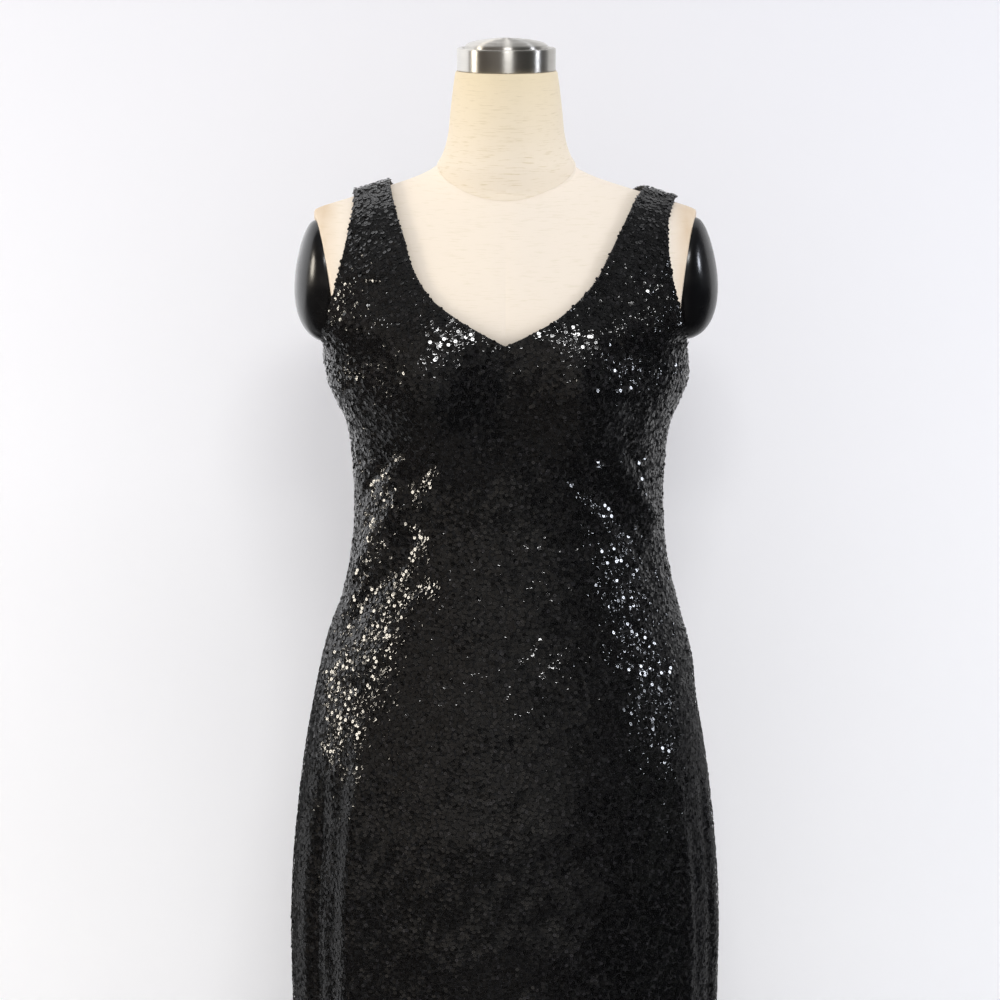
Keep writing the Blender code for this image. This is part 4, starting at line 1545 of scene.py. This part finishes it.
@dataclass
class Dress:
    """The whole dress: two knit panels, their sequins and three bindings."""

    body: RoundedBody = field(
        default_factory=lambda: RoundedBody(DRESS_SECTIONS, DRESS_BUST_RISE, MAIN_FOLDS + FINE_CREASES)
    )
    #    the cut's width, length and area
    front_cut: tuple[float, float, float] = (0.620, 1.480, 0.757)
    back_cut: tuple[float, float, float] = (0.625, 1.475, 0.774)
    #    piece, reaches down to, disc corners
    front_zones: tuple[Zone, ...] = (
        ("sequins_front_bodice", 1.06, 8),
        ("sequins_front_hips", 0.66, 8),
        ("sequins_front_skirt", -1.0, 6),
    )
    back_zones: tuple[Zone, ...] = (
        ("sequins_back_bodice", 1.06, 6),
        ("sequins_back_hips", 0.60, 6),
        ("sequins_back_skirt", -1.0, 6),
    )

    def edge(self, outline: PanelOutline, side: Side, which: int, down: bool) -> tuple[Array, Array]:
        """A stretch of neckline or armhole.

        Args:
            outline: The panel's outline.
            side: Left or right.
            which: 0 for the neckline, 1 for the armhole.
            down: True to run from the shoulder down.

        Returns:
            The points and their normals.
        """
        path = outline.paths(side, PATH_POINTS)[which]
        path = path[::-1] if down else path
        points = self.body.surface(path[:, 0], path[:, 1], outline.facing)
        normals = self.body.normals(path[:, 0], path[:, 1], outline.facing)
        return points, normals

    def build(self, form_cover: bpy.types.Object) -> list[bpy.types.Object]:
        """Builds every piece of the dress.

        Args:
            form_cover: The torso that the dress hangs on; not used.

        Returns:
            The pieces.
        """
        knit, film = BlackKnit().material(), SequinFilm().material()
        front = PanelOutline(self.body, Facing.FRONT, FRONT_EDGES)
        back = PanelOutline(self.body, Facing.BACK, BACK_EDGES)
        binding = EdgeBinding()
        neck = binding.build(
            "neckline_binding",
            [
                self.edge(front, Side.LEFT, 0, False),
                self.edge(back, Side.LEFT, 0, True),
                self.edge(back, Side.RIGHT, 0, False),
                self.edge(front, Side.RIGHT, 0, True),
            ],
            knit,
        )
        arms = [
            binding.build(
                f"armhole_binding_{side.name.lower()}",
                [self.edge(front, side, 1, False), self.edge(back, side, 1, True)],
                knit,
            )
            for side in Side
        ]
        pieces = [neck, *arms]
        for outline, zones, cut, node in (
            (front, self.front_zones, self.front_cut, "dress_front"),
            (back, self.back_zones, self.back_cut, "dress_back"),
        ):
            panel = KnitPanel(outline, f"{node}_knit").build(knit)
            patches = FRONT_TURNS if outline is front else ()
            sequins = SequinCover(outline, patches=patches).build(zones, film)
            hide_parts(node)
            pieces += [panel, *sequins]
        return pieces


# ---------------------------------------------------------------- the form


@dataclass
class LinenForm:
    """The linen-covered torso, which covers the arm plates too, and the neck, from one rounded blank."""

    body: RoundedBody = field(default_factory=lambda: RoundedBody(FORM_SECTIONS, FORM_BUST_RISE))
    torso_rows: int = 84
    torso_columns: int = 168
    neck_rows: int = 30
    neck_columns: int = 96
    row_crowding: float = 0.92
    seam_half_width: float = 0.0010
    seam_depth: float = 0.0002
    seam_front: float = -0.02  # the seam runs where Y is less
    seam_snap: float = 1e-6
    merge: float = 0.00002
    rim_round: float = 0.0016  # of the corner round an arm end
    rim_loops: tuple[float, ...] = (0.1, 0.35, 0.7, 1.0)  # where the corner is cut, as shares of that

    def torso(self) -> bmesh.types.BMesh:
        """Makes the whole torso, closed at the foot and along the shoulders, with its centre front seam.

        Returns:
            The torso.
        """
        ways = np.linspace(0, 1, self.torso_rows + 1) ** self.row_crowding * self.body.end
        turns = np.linspace(-math.pi / 2, math.pi / 2, self.torso_columns // 2 + 1)
        front = self.body.surface(turns[None, :], ways[:, None], Facing.FRONT)
        back = self.body.surface(turns[None, ::-1], ways[:, None], Facing.BACK)
        rings = np.concatenate([front, back[:, 1:-1]], axis=1)
        count = rings.shape[1]
        shape = bmesh.new()
        made = [[shape.verts.new(Vector(p)) for p in ring] for ring in rings.tolist()]
        for low, high in zip(made, made[1:]):
            for i in range(count):
                j = (i + 1) % count
                shape.faces.new((low[i], low[j], high[j], high[i]))
        shape.faces.new(reversed(made[0]))
        bmesh.ops.remove_doubles(shape, verts=shape.verts, dist=self.merge)
        for x in (-self.seam_half_width, self.seam_half_width):
            bmesh.ops.bisect_plane(
                shape,
                geom=[*shape.verts, *shape.edges, *shape.faces],
                dist=self.seam_snap,
                plane_co=(x, 0, 0),
                plane_no=(1, 0, 0),
            )
        for point in shape.verts:
            if abs(point.co.x) < self.seam_half_width / 2 and point.co.y < self.seam_front:
                point.co.y += self.seam_depth
        return shape

    def neck(self) -> bmesh.types.BMesh:
        """Makes the neck column, which runs down into the torso.

        Returns:
            The neck.
        """
        heights = np.linspace(NECK_SECTIONS[0][0], NECK_TOP, self.neck_rows)
        heights = np.unique(np.concatenate([heights, [row[0] for row in NECK_SECTIONS]]))
        turns = np.linspace(0, math.tau, self.neck_columns, endpoint=False)
        shape, rings = bmesh.new(), []
        for height in heights:
            half_width, half_depth, middle = read_table(NECK_SECTIONS, height)
            x, y = NECK_X + half_width * np.cos(turns), middle + half_depth * np.sin(turns)
            ring = np.stack([x, y, height + 0 * turns], -1)
            rings.append([shape.verts.new(Vector(p)) for p in ring.tolist()])
        for lower, upper in zip(rings, rings[1:]):
            for i in range(self.neck_columns):
                j = (i + 1) % self.neck_columns
                shape.faces.new((lower[i], lower[j], upper[j], upper[i]))
        shape.faces.new(reversed(rings[0]))
        shape.faces.new(rings[-1])
        return shape

    @staticmethod
    def cut(
        shape: bmesh.types.BMesh, point: Vector, normal: Vector, above: float = 0.0
    ) -> bmesh.types.BMesh:
        """Takes away what lies on one side of a plane, and closes the cut.

        Args:
            shape: The shape, which changes.
            point: A point of the plane.
            normal: The plane's normal, on the side that goes.
            above: The height over which the cut goes.

        Returns:
            The shape.
        """
        made = bmesh.ops.bisect_plane(
            shape,
            geom=parts_above(shape, above),
            dist=CUT_SNAP,
            plane_co=point,
            plane_no=normal,
            clear_outer=True,
        )
        rim = [e for e in made["geom_cut"] if isinstance(e, bmesh.types.BMEdge)]
        bmesh.ops.holes_fill(shape, edges=rim)
        return shape

    def joined(self, first: bmesh.types.BMesh, second: bmesh.types.BMesh) -> bmesh.types.BMesh:
        """Joins two closed shapes.

        Args:
            first: One shape, which is freed.
            second: The other, which is freed too.

        Returns:
            Their union.
        """
        blanks = []
        for shape in (first, second):
            mesh = bpy.data.meshes.new("blank")
            shape.to_mesh(mesh)
            shape.free()
            blank = bpy.data.objects.new("blank", mesh)
            bpy.context.scene.collection.objects.link(blank)
            blanks.append(blank)
        union = blanks[0].modifiers.new("union", "BOOLEAN")
        union.operation = "UNION"
        union.object = blanks[1]
        result = bmesh.new()
        result.from_object(blanks[0], bpy.context.evaluated_depsgraph_get())
        for blank in blanks:
            bpy.data.objects.remove(blank)
        bmesh.ops.remove_doubles(result, verts=result.verts, dist=self.merge)
        return result

    def round_rim(self, shape: bmesh.types.BMesh, arm: "ArmEnd") -> None:
        """Rounds the linen's corner round an arm end.

        Args:
            shape: The torso, which changes.
            arm: The arm end.
        """
        for share in self.rim_loops:
            bmesh.ops.bisect_plane(
                shape,
                geom=parts_above(shape, ARM_CUT_FROM),
                dist=CUT_SNAP,
                plane_co=arm.middle - arm.normal * self.rim_round * share,
                plane_no=arm.normal,
            )
        for point in shape.verts:
            away = point.co - arm.middle
            depth = -away.dot(arm.normal)
            if point.co.z < ARM_CUT_FROM or depth > self.rim_round:
                continue
            share = min(1.0, 1 - depth / self.rim_round)
            aside = (away + arm.normal * depth).normalized()
            point.co -= aside * self.rim_round * (1 - math.sqrt(1 - share**2))

    @staticmethod
    def piece(
        name: str, nodes: tuple[str, ...], shape: bmesh.types.BMesh, material: bpy.types.Material
    ) -> bpy.types.Object:
        """Makes a linen piece that stands for nodes of the frame.

        Args:
            name: The piece's name.
            nodes: The nodes.
            shape: Its shape, which is freed.
            material: The linen.

        Returns:
            The piece.
        """
        mesh = bpy.data.meshes.new(name)
        shape.to_mesh(mesh)
        shape.free()
        made = dress_mesh(name, mesh, material)
        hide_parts(*nodes)
        return made

    def build(self) -> list[bpy.types.Object]:
        """Builds the neck and the torso.

        Returns:
            The neck, then the torso.
        """
        body_linen = CreamLinen("cream_linen_body", "#F5E9D8", "#F5E9D8", "#EDE1CC").material()
        # the neck's linen is darker and yellower towards its top
        neck_linen = CreamLinen("cream_linen_neck", "#EFE2CD", "#E7D7B6", "#DDCDAD").material()
        blank = self.joined(self.torso(), self.neck())
        seam_normal = Vector((0, -NECK_SEAM_FALL, 1)).normalized()
        seam = Vector((0, 0, NECK_SEAM_HEIGHT))
        top = self.cut(blank.copy(), seam + seam_normal * HALF_GAP, -seam_normal)
        neck = self.piece("neck_cover", ("form_neck",), top, neck_linen)
        rest = self.cut(blank, seam - seam_normal * HALF_GAP, seam_normal)
        for side in Side:
            arm = ArmEnd(side)
            rest = self.cut(rest, arm.middle, arm.normal, ARM_CUT_FROM)
            self.round_rim(rest, arm)
        nodes = ("form_torso", "form_arm_plate_left", "form_arm_plate_right")
        return [neck, self.piece("torso_cover", nodes, rest, body_linen)]


@dataclass
class ArmEnd:
    """One end of the shoulders: the plane that it is cut to, and the polished oval cap on it."""

    side: Side
    half_depth: float = 0.046
    bulge: float = 0.0300
    droop: float = 0.36
    rings: int = 26
    segments: int = 112

    @property
    def foot(self) -> Vector:
        """The end's lowest point in the middle."""
        out, height = ARM_ENDS[self.side][0]
        return Vector((self.side.value * out, 0, height))

    @property
    def top(self) -> Vector:
        """The end's highest point in the middle."""
        out, height = ARM_ENDS[self.side][1]
        return Vector((self.side.value * out, 0, height))

    @property
    def up(self) -> Vector:
        """The end's own up direction."""
        return (self.top - self.foot).normalized()

    @property
    def normal(self) -> Vector:
        """The direction straight out of the end, turned a little to the front.

        Returns:
            The direction.
        """
        turn = math.radians(ARM_ENDS[self.side][2])
        straight_out = Vector((self.side.value * self.up.z, 0, -abs(self.up.x)))
        return straight_out * math.cos(turn) + Vector((0, -math.sin(turn), 0))

    @property
    def middle(self) -> Vector:
        """The middle of the end's face."""
        return (self.foot + self.top) / 2

    def build_cap(self, material: bpy.types.Material) -> bpy.types.Object:
        """Builds the cap.

        Args:
            material: The polished plastic.

        Returns:
            The cap.
        """
        up, normal = np.array(self.up), np.array(self.normal)
        across = np.cross(up, normal)
        seat = np.array(self.middle) + normal * SEAM_GAP
        half_height = (self.top - self.foot).length / 2
        lift = np.arange(self.rings)[:, None] / self.rings * math.pi / 2
        turn = np.arange(self.segments)[None, :] * math.tau / self.segments
        share = np.cos(lift) * np.sin(turn)
        aside = self.half_depth * np.cos(lift) * np.cos(turn)
        out = self.bulge * np.sin(lift) * (1 - self.droop * share)
        grid = seat + up * (half_height * share)[..., None] + across * aside[..., None]
        grid = grid + normal * out[..., None]
        points = np.vstack([grid.reshape(-1, 3), seat + normal * self.bulge])
        faces = ring_quads(self.rings, self.segments)
        last, apex = (self.rings - 1) * self.segments, len(points) - 1
        faces += [(last + i, last + (i + 1) % self.segments, apex) for i in range(self.segments)]
        faces.append(tuple(reversed(range(self.segments))))
        label = self.side.name.lower()
        cap = mesh_object(f"arm_cap_{label}", points, faces, material)
        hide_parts(f"form_arm_cap_{label}")
        return cap


@dataclass
class NeckCap:
    """The turned steel cap on the neck: a rim, a groove and a low dome."""

    #    radius  height over the neck
    profile: Profile = (
        (0.0470, 0.0003),
        (0.0476, 0.0006),
        (0.0478, 0.0012),
        (0.0478, 0.0202),
        (0.0477, 0.0211),
        (0.0473, 0.0217),
        (0.0467, 0.0220),
        (0.0436, 0.0220),
        (0.0432, 0.0218),
        (0.0429, 0.0210),
        (0.0425, 0.0203),
        (0.0419, 0.0201),
        (0.0412, 0.0203),
        (0.0408, 0.0212),
        (0.0405, 0.0222),
        (0.0401, 0.0233),
    )
    dome_height: float = 0.0080
    dome_rings: int = 18
    segments: int = 160

    def build(self) -> bpy.types.Object:
        """Builds the cap.

        Returns:
            The cap.
        """
        radius, foot = self.profile[-1]
        lifts = [ring / self.dome_rings * math.pi / 2 for ring in range(1, self.dome_rings)]
        dome = [(radius * math.cos(a), foot + self.dome_height * math.sin(a)) for a in lifts]
        middle = (NECK_X, NECK_LEAN, NECK_TOP)
        points, faces = turned((*self.profile, *dome), self.segments, middle)
        cap = mesh_object("neck_cap", points, faces, TurnedSteel().material())
        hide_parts("form_neck_cap")
        return cap


@dataclass
class Stand:
    """The steel pole, and the painted round base whose collar holds it."""

    socket_depth: float = 0.050
    segments: int = 144
    #    radius  height
    base_profile: Profile = (
        (BASE_RADIUS - 0.0030, 0.0000),
        (BASE_RADIUS - 0.0012, 0.0005),
        (BASE_RADIUS - 0.0003, 0.0017),
        (BASE_RADIUS, 0.0030),
        (BASE_RADIUS, 0.0070),
        (BASE_RADIUS - 0.0006, 0.0086),
        (BASE_RADIUS - 0.0020, 0.0099),
        (BASE_RADIUS - 0.0040, 0.0105),
        (0.1300, 0.0130),
        (0.0900, 0.0150),
        (0.0600, 0.0166),
        (0.0400, 0.0180),
        (0.0335, 0.0186),
        (0.0300, 0.0200),
        (0.0280, 0.0225),
        (0.0270, 0.0260),
        (0.0270, 0.0600),
        (0.0265, 0.0613),
        (0.0250, 0.0620),
    )

    def build(self) -> list[bpy.types.Object]:
        """Builds the pole and the base.

        Returns:
            Both pieces.
        """
        top = self.base_profile[-1][1]
        socket, bore = top - self.socket_depth, POLE_RADIUS + SEAM_GAP
        paint = SmoothCoat("black_sprayed_steel", "#131315", 0.34, 1.50, 0.9, 0.12).material()
        profile = (*self.base_profile, (bore, top), (bore, socket))
        base = mesh_object("round_base", *turned(profile, self.segments, (0, 0, 0)), paint)
        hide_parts("form_base")
        steel = TurnedSteel("drawn_stainless_tube", roughness=0.42).material()
        foot = socket + SEAM_GAP
        length = FORM_SECTIONS[0][0] - SEAM_GAP - foot
        profile = ((POLE_RADIUS, 0.0), (POLE_RADIUS, length))
        pole = mesh_object("pole", *turned(profile, self.segments, (0, 0, foot)), steel)
        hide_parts("form_pole")
        return [base, pole]


# ---------------------------------------------------------------- the studio


@dataclass(frozen=True)
class Softbox:
    """A soft lamp, placed round the dress's middle."""

    name: str
    azimuth: float  # from the front, towards +X
    elevation: float
    distance: float
    width: float
    height: float
    brightness: float  # its radiance, where a white wall in full light has 1
    colour: str = "#FFFFFF"
    aim_height: float = 1.15

    def build(self) -> None:
        """Adds the lamp, which the camera doesn't see."""
        lamp = bpy.data.lights.new(self.name, "AREA")
        lamp.shape = "RECTANGLE"
        lamp.size, lamp.size_y = self.width, self.height
        lamp.energy = self.brightness * math.pi * self.width * self.height
        lamp.color = linear(self.colour)[:3]
        holder = bpy.data.objects.new(self.name, lamp)
        bpy.context.scene.collection.objects.link(holder)
        a, e = math.radians(self.azimuth), math.radians(self.elevation)
        away = Vector((math.sin(a) * math.cos(e), -math.cos(a) * math.cos(e), math.sin(e)))
        holder.location = Vector((0, 0, self.aim_height)) + away * self.distance
        holder.rotation_euler = away.to_track_quat("Z", "Y").to_euler()
        holder.visible_camera = False


@dataclass
class Studio:
    """The camera, the pale wall and floor, and the lamps."""

    camera_place: tuple[float, float, float] = (-0.005, -3.0, 1.77)
    camera_aim: tuple[float, float, float] = (-0.005, 0.0, 1.138)
    focal_length: float = 110.4
    sensor_width: float = 36.0
    floor_front: float = -3.6
    wall_distance: float = 0.34
    wall_half_width: float = 2.4
    board_ends: tuple[float, float] = (-2.0, 0.8)
    board_gap: float = 0.01
    wall_height: float = 3.2
    seen_sky: str = "#F2F3F8"
    #    azimuth from behind round the left  colour
    room: tuple[tuple[float, str], ...] = (
        (-180.0, "#D8D8DC"),
        (-120.0, "#8A8A86"),
        (-96.0, "#6E6C68"),
        (-64.0, "#8F857C"),
        (-10.0, "#BAB3AC"),
        (8.0, "#B0ADA9"),
        (26.0, "#6B6967"),
        (50.0, "#565554"),
        (66.0, "#62655F"),
        (90.0, "#4A4A4A"),
        (118.0, "#A0A0A2"),
        (180.0, "#D8D8DC"),
    )
    ceiling: str = "#7A7A7A"
    ceiling_sines: tuple[float, float] = (0.55, 0.9)  # of the elevation, where it starts and is full
    #    how much of that is left at each height, from the sine of its elevation
    heights: tuple[tuple[float, float], ...] = (
        (-1.0, 0.30),
        (-0.45, 0.30),
        (-0.19, 0.06),
        (-0.04, 1.00),
        (0.02, 0.90),
        (0.10, 0.55),
        (1.0, 0.55),
    )
    fill: str = "#C3C3C6"  # the even light that matt cloth gets from all round
    patch_deg: float = 9.0  # size of the room's lighter and darker things
    patch_depth: float = 0.5
    patch_levels: tuple[float, float] = (0.32, 0.68)  # of the noise, where they are darkest and lightest
    lamps: tuple[Softbox, ...] = (
        Softbox("window_left", -80, 14, 2.3, 0.50, 0.60, 20.0, "#FFF6E6"),
        Softbox("window_right", 77, 17, 2.3, 0.28, 0.46, 28.0, "#EEF3FF"),
        Softbox("window_front", 4, 37, 2.6, 0.72, 0.25, 36.0),
    )

    def build(self) -> None:
        """Builds the studio."""
        self.build_camera()
        self.build_stage()
        for lamp in self.lamps:
            lamp.build()
        self.build_room()
        bpy.context.scene.view_settings.view_transform = "Standard"

    def build_room(self) -> None:
        """Adds the dim room in front, which the sequins and the steel mirror, as the world."""
        world = bpy.data.worlds.new("room")
        world.use_nodes = True
        tree = world.node_tree
        way = add_node(tree, "ShaderNodeTexCoord")
        parts = add_node(tree, "ShaderNodeSeparateXYZ", {0: way.outputs["Generated"]})
        ahead = add_node(tree, "ShaderNodeMath", {0: parts.outputs[1], 1: -1.0}, operation="MULTIPLY")
        azimuth = add_node(
            tree, "ShaderNodeMath", {0: parts.outputs[0], 1: ahead.outputs[0]}, operation="ARCTAN2"
        )
        share = add_node(tree, "ShaderNodeMapRange", {0: azimuth.outputs[0], 1: -math.pi, 2: math.pi})
        ramp = add_node(tree, "ShaderNodeValToRGB", {0: share.outputs[0]})
        set_stops(ramp, [((degrees + 180) / 360, linear(colour)) for degrees, colour in self.room])
        scale = 1 / math.radians(self.patch_deg)
        patches = add_node(
            tree,
            "ShaderNodeTexNoise",
            {"Vector": way.outputs["Generated"], "Scale": scale, "Detail": 2.0},
        )
        (dark, light), depth = self.patch_levels, self.patch_depth
        gain = add_node(
            tree,
            "ShaderNodeMapRange",
            {0: patches.outputs["Fac"], 1: dark, 2: light, 3: 1 - depth, 4: 1 + depth},
        )
        level = add_node(tree, "ShaderNodeMapRange", {0: parts.outputs[2], 1: -1.0, 2: 1.0})
        shade = add_node(tree, "ShaderNodeValToRGB", {0: level.outputs[0]})
        set_stops(shade, [((sine + 1) / 2, (left, left, left, 1.0)) for sine, left in self.heights])
        strength = add_node(
            tree, "ShaderNodeMath", {0: gain.outputs[0], 1: shade.outputs[0]}, operation="MULTIPLY"
        )
        things = add_node(
            tree,
            "ShaderNodeVectorMath",
            {0: ramp.outputs[0], "Scale": strength.outputs[0]},
            operation="SCALE",
        )
        start, full = self.ceiling_sines
        above = add_node(tree, "ShaderNodeMapRange", {0: parts.outputs[2], 1: start, 2: full})
        whole = add_node(
            tree,
            "ShaderNodeMix",
            {0: above.outputs[0], 6: things.outputs[0], 7: linear(self.ceiling)},
            data_type="RGBA",
        )
        path = add_node(tree, "ShaderNodeLightPath")
        lit = add_node(
            tree,
            "ShaderNodeMix",
            {0: path.outputs["Is Glossy Ray"], 6: linear(self.fill), 7: whole.outputs[2]},
            data_type="RGBA",
        )
        shown = add_node(
            tree,
            "ShaderNodeMix",
            {0: path.outputs["Is Camera Ray"], 6: lit.outputs[2], 7: linear(self.seen_sky)},
            data_type="RGBA",
        )
        tree.links.new(shown.outputs[2], tree.nodes["Background"].inputs["Color"])
        bpy.context.scene.world = world

    def build_camera(self) -> None:
        """Adds the camera at the photograph's viewing angle."""
        lens = bpy.data.cameras.new("camera")
        lens.sensor_width = self.sensor_width
        lens.lens = self.focal_length
        camera = bpy.data.objects.new("camera", lens)
        bpy.context.scene.collection.objects.link(camera)
        camera.location = self.camera_place
        towards = Vector(self.camera_aim) - camera.location
        camera.rotation_euler = towards.to_track_quat("-Z", "Y").to_euler()
        bpy.context.scene.camera = camera

    def build_stage(self) -> None:
        """Adds the floor and the wall behind the form."""
        half, far, top = self.wall_half_width, self.wall_distance, self.wall_height
        near = self.floor_front
        floor = PaleWall("pale_floor", "#EDEDF0", "#EDEDF0", False).material()
        plaster = PaleWall("pale_wall", "#FFFFFF", "#E0E0E4", True).material()
        corners = [(-half, near, 0), (half, near, 0), (half, far, 0), (-half, far, 0)]
        self.build_sheet("floor", corners, floor, False)
        corners = [(-half, far, 0), (half, far, 0), (half, far, top), (-half, far, top)]
        self.build_sheet("wall", corners, plaster, False)
        (left, right), near = self.board_ends, far - self.board_gap
        corners = [(left, near, 0), (right, near, 0), (right, near, top), (left, near, top)]
        self.build_sheet("board", corners, LitBoard().material(), True)

    @staticmethod
    def build_sheet(name: str, corners: list, material: bpy.types.Material, mirrored: bool) -> None:
        """Adds one flat sheet of the studio.

        Args:
            name: The sheet's name.
            corners: Its corners.
            material: Its finish.
            mirrored: True if only gloss sees it, and False if all but gloss does.
        """
        mesh = bpy.data.meshes.new(name)
        mesh.from_pydata(corners, [], [(0, 1, 2, 3)])
        mesh.materials.append(material)
        sheet = bpy.data.objects.new(name, mesh)
        sheet.visible_glossy = mirrored
        sheet.visible_camera = sheet.visible_diffuse = sheet.visible_shadow = not mirrored
        bpy.context.scene.collection.objects.link(sheet)


def main() -> None:
    logging.basicConfig(level=logging.INFO, format="%(message)s")
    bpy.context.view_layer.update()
    neck, torso = LinenForm().build()
    polish = SmoothCoat("polished_black_plastic", "#0B0B0D", 0.19, 1.50, 6.0, 0.02).material()
    arm_caps = [ArmEnd(side).build_cap(polish) for side in Side]
    neck_cap = NeckCap().build()
    stand = Stand().build()
    dress = Dress().build(torso)
    Studio().build()
    for piece in (neck, torso, *arm_caps, neck_cap, *stand, *dress):
        LOG.info("%s: %d faces", piece.name, len(piece.data.polygons))


if __name__ == "__main__":
    main()
